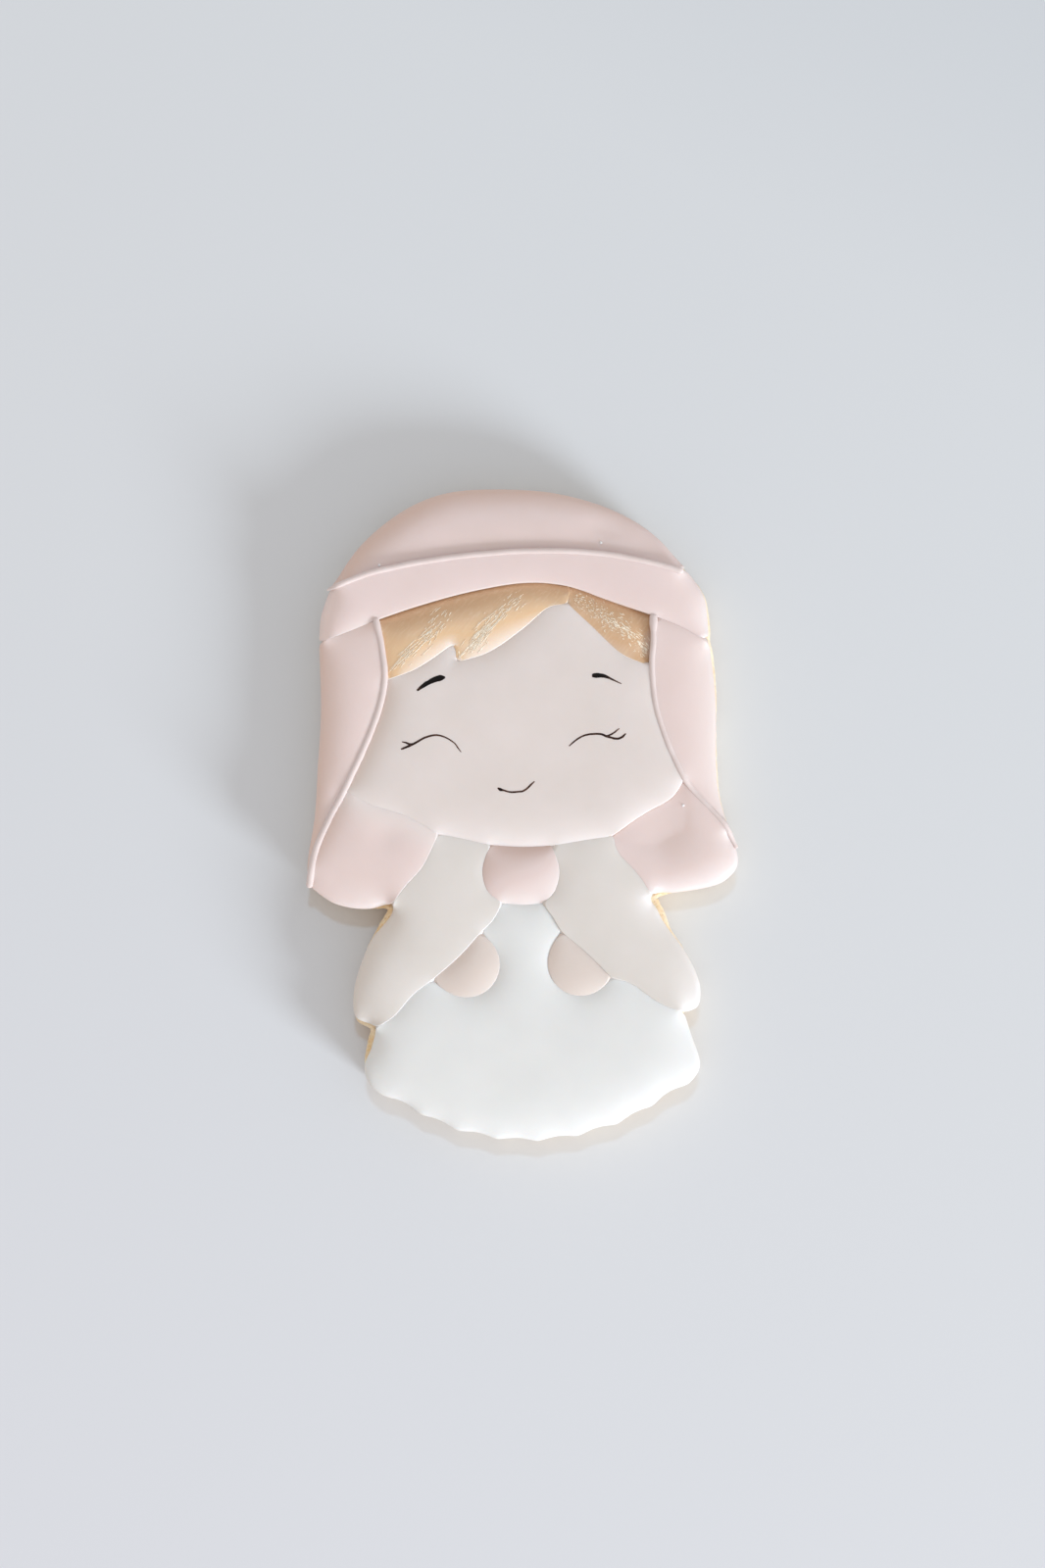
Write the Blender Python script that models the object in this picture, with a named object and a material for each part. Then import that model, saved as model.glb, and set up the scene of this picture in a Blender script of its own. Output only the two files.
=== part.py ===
"""An iced sugar biscuit cut as a veiled girl, lying flat with its icing up.

Run with: blender --background --python part.py

The biscuit is one baked slab. Each colour of icing is a separate flooded panel
that lies on it, domed by its own surface tension and parted from its neighbours
by a narrow crease. Three piped threads lie along the folds of the veil.

The frame: origin at the middle of the underside, +Z up, +Y towards the crown.
Lengths below are in millimetres and are turned to metres when a mesh is made.
"""

import math

import bmesh
import bpy
import numpy as np
from mathutils import Vector
from mathutils.geometry import delaunay_2d_cdt

MM = 0.001

BISCUIT_THICKNESS = 6.5
BISCUIT_TOP_EDGE = 0.9
BISCUIT_FOOT_EDGE = 0.45
BISCUIT_EDGE_SEGMENTS = 3

GAP = 0.3
CREASE = 0.3
ICING_LIP = 0.75
SHOULDER_WIDTH = 1.1

# How each panel is flooded: its depth at the shoulder, the dome's rise and the dome's width.
FLOODING = {
    "dress": (1.4, 0.6, 8.0),
    "hand_left": (1.55, 0.45, 3.5),
    "hand_right": (1.55, 0.45, 3.5),
    "sleeve_left": (1.75, 0.6, 5.0),
    "sleeve_right": (1.75, 0.6, 5.0),
    "veil_knot": (1.8, 0.7, 4.5),
    "veil_tail_left": (1.7, 0.45, 5.0),
    "veil_tail_right": (1.7, 0.45, 5.0),
    "face": (1.85, 0.6, 8.0),
    "fringe_left": (1.65, 0.25, 4.0),
    "fringe_right": (1.65, 0.25, 4.0),
    "veil_side_left": (1.9, 0.3, 4.0),
    "veil_side_right": (1.9, 0.3, 4.0),
    "veil_band": (2.0, 0.4, 4.0),
    "veil_crown": (1.9, 0.5, 6.5),
}

THREAD_RADIUS = 0.42
THREAD_RISE = 2.4

FINE_STEP = 0.5
LONGEST_STEP = 2.6
CHORD_ERROR = 0.05
GRID_STEP = 3.2
RING_DEPTHS = (0.32, SHOULDER_WIDTH)
CORNER_SOFTENING_PASSES = 2
REACH_EASING_PASSES = 16

# Where three or more panels meet, or a seam reaches the rim: (x, y).
BROW_LEFT = (-29.8, 34.8)
BROW_RIGHT = (25.3, 37.4)
TEMPLE_LEFT = (-31.5, 26.5)
TEMPLE_RIGHT = (28.3, 26.6)
HOOD_LEFT = (-22.5, 30.0)
HOOD_RIGHT = (20.0, 30.7)
PARTING_TOP = (7.1, 35.2)
PARTING_FOOT = (6.9, 32.5)
FRINGE_LEFT = (-21.1, 20.8)
FRINGE_RIGHT = (19.8, 22.9)
CHEEK_LEFT = (-27.3, 4.0)
CHEEK_RIGHT = (24.8, 5.7)
VEIL_TIP_LEFT = (-33.0, -10.9)
VEIL_TIP_RIGHT = (32.9, -4.9)
JAW_LEFT = (-13.0, -2.8)
JAW_RIGHT = (13.7, -3.1)
NECK_LEFT = (-5.0, -4.5)
NECK_RIGHT = (4.4, -4.6)
SHOULDER_LEFT = (-20.5, -14.3)
SHOULDER_RIGHT = (19.9, -12.3)
CUFF_LEFT = (-23.0, -32.7)
CUFF_RIGHT = (25.0, -30.4)
KNOT_LEFT = (-3.2, -13.4)
KNOT_RIGHT = (3.0, -13.4)
PALM_TOP_LEFT = (-6.5, -17.9)
PALM_FOOT_LEFT = (-13.9, -25.2)
PALM_TOP_RIGHT = (5.9, -17.8)
PALM_FOOT_RIGHT = (13.6, -24.9)
HIP_LEFT = (-21.3, -43.4)
HIP_RIGHT = (25.3, -41.6)

# Seams between panels, each a smooth curve through a few points.
BROW_SEAM = [
    BROW_LEFT, (-23.2, 37.4), (-12.6, 39.5), (-2.0, 40.6), (7.0, 40.7), (14.5, 40.0), (21.8, 38.4), BROW_RIGHT,
]
FRINGE_SEAM = [
    HOOD_LEFT, (-17.0, 31.9), (-8.0, 34.4), (0.9, 35.8), PARTING_TOP, (12.5, 33.3), HOOD_RIGHT,
]
TEMPLE_SEAM_LEFT = [TEMPLE_LEFT, (-26.4, 28.4), HOOD_LEFT]
TEMPLE_SEAM_RIGHT = [HOOD_RIGHT, (24.6, 28.9), TEMPLE_RIGHT]
VEIL_SEAM_LEFT = [
    HOOD_LEFT, (-21.6, 26.0), FRINGE_LEFT, (-22.3, 15.4), CHEEK_LEFT, (-29.9, -1.0), (-32.0, -5.8), VEIL_TIP_LEFT,
]
VEIL_SEAM_RIGHT = [
    HOOD_RIGHT, (20.0, 27.2), FRINGE_RIGHT, (20.6, 15.9), CHEEK_RIGHT, (28.5, 1.4), (30.9, -1.3), VEIL_TIP_RIGHT,
]
VEIL_HAIR_KNOT, VEIL_CHEEK_KNOT = 2, 4

# The fringe is two locks, and the left one's lower edge has a notch.
LOCK_EDGE_LEFT = [FRINGE_LEFT, (-16.6, 22.4), (-10.6, 26.4)]
LOCK_NOTCH = [(-10.6, 26.4), (-10.2, 24.9), (-10.4, 23.5)]
LOCK_EDGE_MIDDLE = [(-10.4, 23.5), (-5.4, 25.0), (0.4, 29.0), (4.0, 32.0), PARTING_FOOT]
LOCK_EDGE_RIGHT = [PARTING_FOOT, (11.0, 28.6), (15.4, 24.6), FRINGE_RIGHT]

JAW_SEAM_LEFT = [CHEEK_LEFT, (-24.0, 2.0), (-18.2, 0.1), JAW_LEFT]
JAW_SEAM_RIGHT = [CHEEK_RIGHT, (23.0, 2.9), (18.4, 0.2), JAW_RIGHT]
CHIN_LEFT = [JAW_LEFT, (-9.2, -3.5), NECK_LEFT]
CHIN_MIDDLE = [NECK_LEFT, (-0.3, -4.8), NECK_RIGHT]
CHIN_RIGHT = [NECK_RIGHT, (9.0, -3.8), JAW_RIGHT]

ARM_SEAM_LEFT = [JAW_LEFT, (-15.4, -7.8), (-18.4, -11.2), SHOULDER_LEFT]
ARM_SEAM_RIGHT = [JAW_RIGHT, (14.6, -5.6), (17.6, -8.9), SHOULDER_RIGHT]
KNOT_SIDE_LEFT = [NECK_LEFT, (-6.2, -8.2), (-5.4, -11.6), KNOT_LEFT]
KNOT_SIDE_RIGHT = [NECK_RIGHT, (5.6, -8.3), (4.8, -11.7), KNOT_RIGHT]
KNOT_FOOT = [KNOT_LEFT, (-0.1, -13.7), KNOT_RIGHT]
ELBOW_LEFT = [KNOT_LEFT, (-4.7, -16.2), PALM_TOP_LEFT]
ELBOW_RIGHT = [KNOT_RIGHT, (4.6, -15.6), PALM_TOP_RIGHT]
WRIST_LEFT = [PALM_TOP_LEFT, (-9.6, -21.4), PALM_FOOT_LEFT]
WRIST_RIGHT = [PALM_TOP_RIGHT, (10.4, -21.6), PALM_FOOT_RIGHT]
CUFF_SEAM_LEFT = [PALM_FOOT_LEFT, (-16.8, -27.4), (-20.0, -31.0), CUFF_LEFT]
CUFF_SEAM_RIGHT = [PALM_FOOT_RIGHT, (16.4, -25.6), (20.8, -28.6), CUFF_RIGHT]

# Each hand is an arc of a disc that the sleeve overlaps.
PALM_RADIUS = 4.95
PALM_CENTRE_LEFT = (-8.4, -23.0)
PALM_CENTRE_RIGHT = (8.7, -22.8)
PALM_ARC_STEPS = 14

# The rim, in stretches that each belong to one panel, clockwise from the brow.
RIM_CROWN = [
    BROW_LEFT, (-25.0, 41.7), (-18.0, 47.3), (-11.5, 49.8), (-1.5, 50.3), (6.2, 49.5),
    (14.6, 46.8), (20.7, 42.9), BROW_RIGHT,
]
RIM_BAND_RIGHT = [BROW_RIGHT, (27.5, 33.6), TEMPLE_RIGHT]
RIM_VEIL_RIGHT = [TEMPLE_RIGHT, (29.2, 19.0), (29.5, 9.6), (30.5, 2.2), VEIL_TIP_RIGHT]
RIM_TAIL_RIGHT = [VEIL_TIP_RIGHT, (33.2, -7.6), (30.9, -10.3), (25.6, -11.7), SHOULDER_RIGHT]
RIM_SLEEVE_RIGHT = [
    SHOULDER_RIGHT, (21.6, -16.0), (25.3, -21.2), (27.4, -26.2), (27.0, -29.5), CUFF_RIGHT,
]
RIM_SKIRT_RIGHT = [CUFF_RIGHT, (25.9, -33.3), (27.1, -36.6), (27.4, -38.4), (26.7, -40.1), HIP_RIGHT]
RIM_SKIRT_LEFT = [HIP_LEFT, (-23.4, -41.8), (-24.5, -39.2), (-23.8, -35.6), CUFF_LEFT]
RIM_SLEEVE_LEFT = [
    CUFF_LEFT, (-25.7, -31.6), (-26.2, -27.4), (-24.7, -21.8), (-22.4, -17.2), SHOULDER_LEFT,
]
RIM_TAIL_LEFT = [SHOULDER_LEFT, (-25.0, -14.5), (-29.2, -13.6), VEIL_TIP_LEFT]
RIM_VEIL_LEFT = [
    VEIL_TIP_LEFT, (-33.3, -7.6), (-32.2, -0.4), (-31.7, 7.4), (-31.2, 16.4), TEMPLE_LEFT,
]
RIM_BAND_LEFT = [TEMPLE_LEFT, (-31.2, 30.6), BROW_LEFT]

# The hem hangs in shallow swags from the tips of a smooth curve.
HEM_TIPS = [HIP_RIGHT, (14.5, -47.7), (2.6, -50.3), (-9.4, -48.9), HIP_LEFT]
HEM_SWAGS = 8
HEM_SWAG_DEPTH = 0.6
HEM_STEPS_PER_SWAG = 12

# How far the biscuit shows past the icing's edge, or stays under it where the icing hangs over.
ICING_OVERHANG = -0.35
RIM_FLUSH = 0.0
RIM_THIN = 0.25
RIM_PLAIN = 0.55
RIM_BROAD = 0.95
SLEEVE_RIM_KNOT = 2
SKIRT_RIM_KNOT = 2

ICING = {
    "blush": (0.78, 0.62, 0.58),
    "cream": (0.79, 0.74, 0.70),
    "ivory": (0.73, 0.70, 0.66),
    "white": (0.86, 0.87, 0.87),
    "palm": (0.74, 0.66, 0.61),
    "gold": (0.62, 0.40, 0.20),
    "thread": (0.87, 0.76, 0.73),
}
ICING_ROUGHNESS = 0.5
BISCUIT_COLOUR = (0.72, 0.47, 0.19)
BISCUIT_ROUGHNESS = 0.85


def clear_scene():
    for obj in list(bpy.data.objects):
        bpy.data.objects.remove(obj, do_unlink=True)


def material(name, colour, roughness):
    made = bpy.data.materials.new(name)
    made.use_nodes = True
    shader = made.node_tree.nodes["Principled BSDF"]
    shader.inputs["Base Color"].default_value = (*colour, 1.0)
    shader.inputs["Roughness"].default_value = roughness
    shader.inputs["Metallic"].default_value = 0.0
    return made


def place(name, data, finish, height):
    """An object on the biscuit's frame, at a height in millimetres."""
    obj = bpy.data.objects.new(name, data)
    data.materials.append(finish)
    obj.location.z = height * MM
    obj.parent = frame
    collection.objects.link(obj)
    return obj


def distance_between(a, b):
    return float(np.linalg.norm(b - a))


def spline(knots, first=0, last=None):
    """Points on a centripetal Catmull-Rom curve through the knots, from one knot to another."""
    knots = [np.array(k, float) for k in knots]
    last = len(knots) - 1 if last is None else last
    padded = [2 * knots[0] - knots[1], *knots, 2 * knots[-1] - knots[-2]]
    points = [knots[first]]
    for i in range(first, last):
        before, start, end, after = padded[i : i + 4]
        t1 = math.sqrt(distance_between(before, start))
        t2 = t1 + math.sqrt(distance_between(start, end))
        t3 = t2 + math.sqrt(distance_between(end, after))
        steps = max(1, round(distance_between(start, end) / FINE_STEP))
        for k in range(1, steps + 1):
            t = t1 + (t2 - t1) * k / steps
            a1 = ((t1 - t) * before + t * start) / t1
            a2 = ((t2 - t) * start + (t - t1) * end) / (t2 - t1)
            a3 = ((t3 - t) * end + (t - t2) * after) / (t3 - t2)
            b1 = ((t2 - t) * a1 + t * a2) / t2
            b2 = ((t3 - t) * a2 + (t - t1) * a3) / (t3 - t1)
            points.append(((t2 - t) * b1 + (t - t1) * b2) / (t2 - t1))
    return np.array(points)


def evenly(line, steps):
    """The line again, with its points an equal distance apart."""
    along = np.concatenate([[0], np.cumsum(np.linalg.norm(np.diff(line, axis=0), axis=1))])
    stops = np.linspace(0, along[-1], steps + 1)
    return np.column_stack([np.interp(stops, along, line[:, i]) for i in (0, 1)])


def palm_arc(centre, start, end, clockwise):
    """Points from start to end round a palm, which bulges to its full radius between them."""
    centre = np.array(centre)
    from_start, from_end = np.array(start) - centre, np.array(end) - centre
    angle = math.atan2(from_start[1], from_start[0])
    turn = (math.atan2(from_end[1], from_end[0]) - angle) % (2 * math.pi)
    if clockwise:
        turn -= 2 * math.pi
    points = []
    for k in range(PALM_ARC_STEPS + 1):
        share = k / PALM_ARC_STEPS
        bulge = math.sqrt(math.sin(math.pi * share))
        ends = (1 - share) * np.linalg.norm(from_start) + share * np.linalg.norm(from_end)
        radius = ends + (PALM_RADIUS - ends) * bulge
        here = angle + turn * share
        points.append(centre + radius * np.array([math.cos(here), math.sin(here)]))
    return np.array(points)


def hem():
    """The skirt's hem from right to left: a smooth curve of tips with a swag between each two."""
    steps = HEM_SWAGS * HEM_STEPS_PER_SWAG
    tips = evenly(spline(HEM_TIPS), steps)
    ahead = np.gradient(tips, axis=0)
    upward = np.column_stack([ahead[:, 1], -ahead[:, 0]])
    upward /= np.linalg.norm(upward, axis=1)[:, None]
    swag = np.abs(np.sin(math.pi * HEM_SWAGS * np.linspace(0, 1, steps + 1)))
    return tips + upward * (HEM_SWAG_DEPTH * swag)[:, None]


def joined(*stretches):
    """One closed anticlockwise outline from stretches that follow each other."""
    outline = np.concatenate([stretch[:-1] for stretch in stretches])
    ahead = np.roll(outline, -1, axis=0)
    doubled_area = np.sum(outline[:, 0] * ahead[:, 1] - ahead[:, 0] * outline[:, 1])
    return outline if doubled_area > 0 else outline[::-1]


def inward_normals(outline):
    """Mitred normals of an anticlockwise outline, pointing inwards, limited at sharp corners."""
    before = outline - np.roll(outline, 1, axis=0)
    after = np.roll(outline, -1, axis=0) - outline
    before /= np.linalg.norm(before, axis=1)[:, None]
    after /= np.linalg.norm(after, axis=1)[:, None]
    turned = [np.column_stack([-side[:, 1], side[:, 0]]) for side in (before, after)]
    middle = turned[0] + turned[1]
    middle /= np.maximum(np.linalg.norm(middle, axis=1)[:, None], 1e-6)
    spread = np.sum(middle * turned[0], axis=1)[:, None]
    return middle / np.maximum(spread, 0.6)


def distance_to(outline, points):
    """Each point's distance to the closed outline."""
    start = outline[None, :, :]
    side = np.roll(outline, -1, axis=0)[None, :, :] - start
    offset = points[:, None, :] - start
    share = np.clip(np.sum(offset * side, axis=2) / np.sum(side * side, axis=2), 0, 1)
    return np.linalg.norm(offset - share[:, :, None] * side, axis=2).min(axis=1)


def is_inside(outline, points):
    """Whether each point is inside the closed outline, by counting crossings."""
    x, y = points[:, 0][:, None], points[:, 1][:, None]
    x0, y0 = outline[:, 0][None], outline[:, 1][None]
    x1, y1 = np.roll(outline[:, 0], -1)[None], np.roll(outline[:, 1], -1)[None]
    spans = (y0 > y) != (y1 > y)
    rise = np.where(y1 == y0, 1e-9, y1 - y0)
    crossing = x0 + (y - y0) * (x1 - x0) / rise
    return (np.sum(spans & (x < crossing), axis=1) % 2) == 1


def softened(ring, passes):
    """The values round a closed ring, each eased towards its neighbours."""
    for _ in range(passes):
        ring = 0.25 * np.roll(ring, 1, axis=0) + 0.5 * ring + 0.25 * np.roll(ring, -1, axis=0)
    return ring


def thinned(outline):
    """The outline's points that its shape needs, no further apart than the longest step."""
    kept = [0]
    count = len(outline)
    at = 0
    while at < count:
        reach = at + 1
        for ahead in range(at + 2, count + 1):
            chord = outline[ahead % count] - outline[at]
            length = np.linalg.norm(chord)
            between = outline[at + 1 : ahead] - outline[at]
            off = np.abs(between[:, 0] * chord[1] - between[:, 1] * chord[0]) / length
            if length > LONGEST_STEP or off.max() > CHORD_ERROR:
                break
            reach = ahead
        at = reach
        if at < count:
            kept.append(at)
    return outline[kept]


def panel_outline(*stretches):
    """A panel's own outline: its stretches joined, drawn in by half a crease, with soft corners."""
    outline = softened(joined(*stretches), CORNER_SOFTENING_PASSES)
    inner = outline + inward_normals(outline) * CREASE / 2
    clear = is_inside(outline, inner) & (distance_to(outline, inner) > 0.9 * CREASE / 2)
    return thinned(inner[clear])


def icing_height(name, depth):
    """The icing's height at a depth in from its edge: a lip, a round shoulder and a low dome."""
    thickness, dome_rise, dome_width = FLOODING[name]
    round_in = 1 - np.clip(depth / SHOULDER_WIDTH, 0, 1)
    shoulder = np.sqrt(1 - round_in**2)
    swell_in = 1 - np.clip(depth / dome_width, 0, 1)
    return ICING_LIP + (thickness - ICING_LIP) * shoulder + dome_rise * (1 - swell_in**2)


def sheet_points(outline):
    """The outline's own points, then rings that follow it round the shoulder, then an even grid."""
    normals = inward_normals(outline)
    rings = []
    for depth in RING_DEPTHS:
        ring = outline + normals * depth
        ring = ring[is_inside(outline, ring)]
        rings.append(ring[distance_to(outline, ring) > 0.85 * depth])
    low, high = outline.min(axis=0), outline.max(axis=0)
    rows = np.arange(low[1], high[1], GRID_STEP * math.sqrt(3) / 2)
    grid = []
    for k, y in enumerate(rows):
        shift = GRID_STEP / 2 * (k % 2)
        grid += [(x + shift, y) for x in np.arange(low[0], high[0], GRID_STEP)]
    grid = np.array(grid)
    grid = grid[is_inside(outline, grid)]
    grid = grid[distance_to(outline, grid) > RING_DEPTHS[-1] + 0.3 * GRID_STEP]
    return np.concatenate([outline, *rings, grid])


def icing_panel(name, outline, finish):
    """A flooded panel: a flat sheet inside the outline, extruded up and domed towards its middle."""
    count = len(outline)
    edges = [(i, (i + 1) % count) for i in range(count)]
    points = [Vector(p) for p in sheet_points(outline)]
    flat, _, faces, *_ = delaunay_2d_cdt(points, edges, [], 1, 1e-5)
    bm = bmesh.new()
    verts = [bm.verts.new((p.x * MM, p.y * MM, 0)) for p in flat]
    for face in faces:
        bm.faces.new([verts[i] for i in face])
    raised = bmesh.ops.extrude_face_region(bm, geom=list(bm.faces))["geom"]
    top = [v for v in raised if isinstance(v, bmesh.types.BMVert)]
    where = np.array([(v.co.x / MM, v.co.y / MM) for v in top])
    for vert, height in zip(top, icing_height(name, distance_to(outline, where))):
        vert.co.z = height * MM
    underside = [f for f in bm.faces if all(v.co.z == 0 for v in f.verts)]
    bmesh.ops.dissolve_faces(bm, faces=underside, use_verts=True)
    return finished(name, bm, finish, BISCUIT_THICKNESS + GAP)


def finished(name, bm, finish, height):
    """The object that a closed bmesh becomes, with its faces pointing out."""
    bmesh.ops.recalc_face_normals(bm, faces=bm.faces)
    mesh = bpy.data.meshes.new(name)
    bm.to_mesh(mesh)
    bm.free()
    mesh.shade_smooth()
    return place(name, mesh, finish, height)


def thread(name, knots, finish):
    """A piped thread of icing, a round bead along a seam."""
    line = spline(knots)
    length = np.linalg.norm(np.diff(line, axis=0), axis=1).sum()
    line = evenly(line, round(length / LONGEST_STEP))
    curve = bpy.data.curves.new(name, "CURVE")
    curve.dimensions = "3D"
    curve.bevel_depth = THREAD_RADIUS * MM
    curve.bevel_resolution = 2
    curve.use_fill_caps = True
    bead = curve.splines.new("POLY")
    bead.points.add(len(line) - 1)
    for point, (x, y) in zip(bead.points, line):
        point.co = (x * MM, y * MM, 0, 1)
    return place(name, curve, finish, BISCUIT_THICKNESS + GAP + THREAD_RISE)


def biscuit_outline():
    """The rim's outline, let out or drawn in by how far the biscuit shows along each stretch."""
    stretches = [
        (spline(RIM_CROWN), ICING_OVERHANG),
        (spline(RIM_BAND_RIGHT), RIM_PLAIN),
        (spline(RIM_VEIL_RIGHT), RIM_PLAIN),
        (spline(RIM_TAIL_RIGHT), RIM_THIN),
        (spline(RIM_SLEEVE_RIGHT, 0, SLEEVE_RIM_KNOT), RIM_BROAD),
        (spline(RIM_SLEEVE_RIGHT, SLEEVE_RIM_KNOT), RIM_FLUSH),
        (spline(RIM_SKIRT_RIGHT), ICING_OVERHANG),
        (hem(), ICING_OVERHANG),
        (spline(RIM_SKIRT_LEFT, 0, SKIRT_RIM_KNOT), ICING_OVERHANG),
        (spline(RIM_SKIRT_LEFT, SKIRT_RIM_KNOT), RIM_PLAIN),
        (spline(RIM_SLEEVE_LEFT), RIM_THIN),
        (spline(RIM_TAIL_LEFT), RIM_FLUSH),
        (spline(RIM_VEIL_LEFT), ICING_OVERHANG),
        (spline(RIM_BAND_LEFT), ICING_OVERHANG),
    ]
    outline = joined(*[points for points, _ in stretches])
    reach = np.concatenate([np.full(len(points) - 1, showing) for points, showing in stretches])
    reach = softened(reach[::-1, None], REACH_EASING_PASSES)
    outline = softened(outline, CORNER_SOFTENING_PASSES)
    return thinned(outline - inward_normals(outline) * reach)


def biscuit(finish):
    """The baked slab, with a worn top edge and a crisper foot."""
    bm = bmesh.new()
    face = bm.faces.new([bm.verts.new((x * MM, y * MM, 0)) for x, y in biscuit_outline()])
    raised = bmesh.ops.extrude_face_region(bm, geom=[face])["geom"]
    top = [v for v in raised if isinstance(v, bmesh.types.BMVert)]
    bmesh.ops.translate(bm, verts=top, vec=(0, 0, BISCUIT_THICKNESS * MM))
    for height, width in ((BISCUIT_THICKNESS, BISCUIT_TOP_EDGE), (0, BISCUIT_FOOT_EDGE)):
        rim = [e for e in bm.edges if all(abs(v.co.z - height * MM) < 1e-7 for v in e.verts)]
        bmesh.ops.bevel(
            bm, geom=rim, offset=width * MM, offset_type="OFFSET", segments=BISCUIT_EDGE_SEGMENTS,
            profile=0.5, affect="EDGES", clamp_overlap=True,
        )
    return finished("biscuit", bm, finish, 0)


def veil(blush):
    """The veil: its crown, the band over the brow, two falling sides and the tails behind them."""
    brow, fringe = spline(BROW_SEAM), spline(FRINGE_SEAM)
    temple_left, temple_right = spline(TEMPLE_SEAM_LEFT), spline(TEMPLE_SEAM_RIGHT)
    crown = panel_outline(spline(RIM_CROWN), brow[::-1])
    icing_panel("veil_crown", crown, blush)
    band = panel_outline(
        brow, spline(RIM_BAND_RIGHT), temple_right[::-1], fringe[::-1], temple_left[::-1], spline(RIM_BAND_LEFT),
    )
    icing_panel("veil_band", band, blush)
    side_left = panel_outline(temple_left, spline(VEIL_SEAM_LEFT), spline(RIM_VEIL_LEFT))
    icing_panel("veil_side_left", side_left, blush)
    side_right = panel_outline(temple_right, spline(RIM_VEIL_RIGHT), spline(VEIL_SEAM_RIGHT)[::-1])
    icing_panel("veil_side_right", side_right, blush)
    tail_left = panel_outline(
        spline(VEIL_SEAM_LEFT, VEIL_CHEEK_KNOT), spline(RIM_TAIL_LEFT)[::-1],
        spline(ARM_SEAM_LEFT)[::-1], spline(JAW_SEAM_LEFT)[::-1],
    )
    icing_panel("veil_tail_left", tail_left, blush)
    tail_right = panel_outline(
        spline(VEIL_SEAM_RIGHT, VEIL_CHEEK_KNOT), spline(RIM_TAIL_RIGHT),
        spline(ARM_SEAM_RIGHT)[::-1], spline(JAW_SEAM_RIGHT)[::-1],
    )
    icing_panel("veil_tail_right", tail_right, blush)


def head(cream, gold):
    """The face and the two locks of the fringe above it."""
    parting = spline([PARTING_TOP, PARTING_FOOT])
    parting_knot = FRINGE_SEAM.index(PARTING_TOP)
    fringe_left = panel_outline(
        spline(FRINGE_SEAM, 0, parting_knot), parting, spline(LOCK_EDGE_MIDDLE)[::-1], spline(LOCK_NOTCH)[::-1],
        spline(LOCK_EDGE_LEFT)[::-1], spline(VEIL_SEAM_LEFT, 0, VEIL_HAIR_KNOT)[::-1],
    )
    icing_panel("fringe_left", fringe_left, gold)
    fringe_right = panel_outline(
        spline(FRINGE_SEAM, parting_knot), spline(VEIL_SEAM_RIGHT, 0, VEIL_HAIR_KNOT),
        spline(LOCK_EDGE_RIGHT)[::-1], parting[::-1],
    )
    icing_panel("fringe_right", fringe_right, gold)
    face = panel_outline(
        spline(LOCK_EDGE_LEFT), spline(LOCK_NOTCH), spline(LOCK_EDGE_MIDDLE), spline(LOCK_EDGE_RIGHT),
        spline(VEIL_SEAM_RIGHT, VEIL_HAIR_KNOT, VEIL_CHEEK_KNOT), spline(JAW_SEAM_RIGHT),
        spline(CHIN_RIGHT)[::-1], spline(CHIN_MIDDLE)[::-1], spline(CHIN_LEFT)[::-1],
        spline(JAW_SEAM_LEFT)[::-1], spline(VEIL_SEAM_LEFT, VEIL_HAIR_KNOT, VEIL_CHEEK_KNOT)[::-1],
    )
    icing_panel("face", face, cream)


def gown(ivory, palm, blush, white):
    """The gown: two sleeves, the hands they hold, the veil's knot at the neck, and the dress."""
    palm_left = palm_arc(PALM_CENTRE_LEFT, PALM_TOP_LEFT, PALM_FOOT_LEFT, clockwise=True)
    palm_right = palm_arc(PALM_CENTRE_RIGHT, PALM_TOP_RIGHT, PALM_FOOT_RIGHT, clockwise=False)
    sleeve_left = panel_outline(
        spline(CHIN_LEFT), spline(KNOT_SIDE_LEFT), spline(ELBOW_LEFT), spline(WRIST_LEFT),
        spline(CUFF_SEAM_LEFT), spline(RIM_SLEEVE_LEFT), spline(ARM_SEAM_LEFT)[::-1],
    )
    icing_panel("sleeve_left", sleeve_left, ivory)
    sleeve_right = panel_outline(
        spline(CHIN_RIGHT), spline(ARM_SEAM_RIGHT), spline(RIM_SLEEVE_RIGHT), spline(CUFF_SEAM_RIGHT)[::-1],
        spline(WRIST_RIGHT)[::-1], spline(ELBOW_RIGHT)[::-1], spline(KNOT_SIDE_RIGHT)[::-1],
    )
    icing_panel("sleeve_right", sleeve_right, ivory)
    icing_panel("hand_left", panel_outline(palm_left, spline(WRIST_LEFT)[::-1]), palm)
    icing_panel("hand_right", panel_outline(palm_right, spline(WRIST_RIGHT)[::-1]), palm)
    knot = panel_outline(
        spline(CHIN_MIDDLE), spline(KNOT_SIDE_RIGHT), spline(KNOT_FOOT)[::-1], spline(KNOT_SIDE_LEFT)[::-1],
    )
    icing_panel("veil_knot", knot, blush)
    dress = panel_outline(
        spline(KNOT_FOOT), spline(ELBOW_RIGHT), palm_right, spline(CUFF_SEAM_RIGHT), spline(RIM_SKIRT_RIGHT),
        hem(), spline(RIM_SKIRT_LEFT), spline(CUFF_SEAM_LEFT)[::-1], palm_left[::-1], spline(ELBOW_LEFT)[::-1],
    )
    icing_panel("dress", dress, white)


def centre_on_box():
    """Moves the whole part so that its origin is the middle of its box's underside."""
    bpy.context.view_layer.update()
    solids = [obj for obj in collection.objects if obj.data]
    corners = [obj.matrix_world @ Vector(corner) for obj in solids for corner in obj.bound_box]
    for axis in (0, 1):
        along = [corner[axis] for corner in corners]
        frame.location[axis] = -(min(along) + max(along)) / 2


clear_scene()
collection = bpy.data.collections.new("christmas_cookie")
bpy.context.scene.collection.children.link(collection)
frame = bpy.data.objects.new("christmas_cookie_frame", None)
collection.objects.link(frame)

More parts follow.
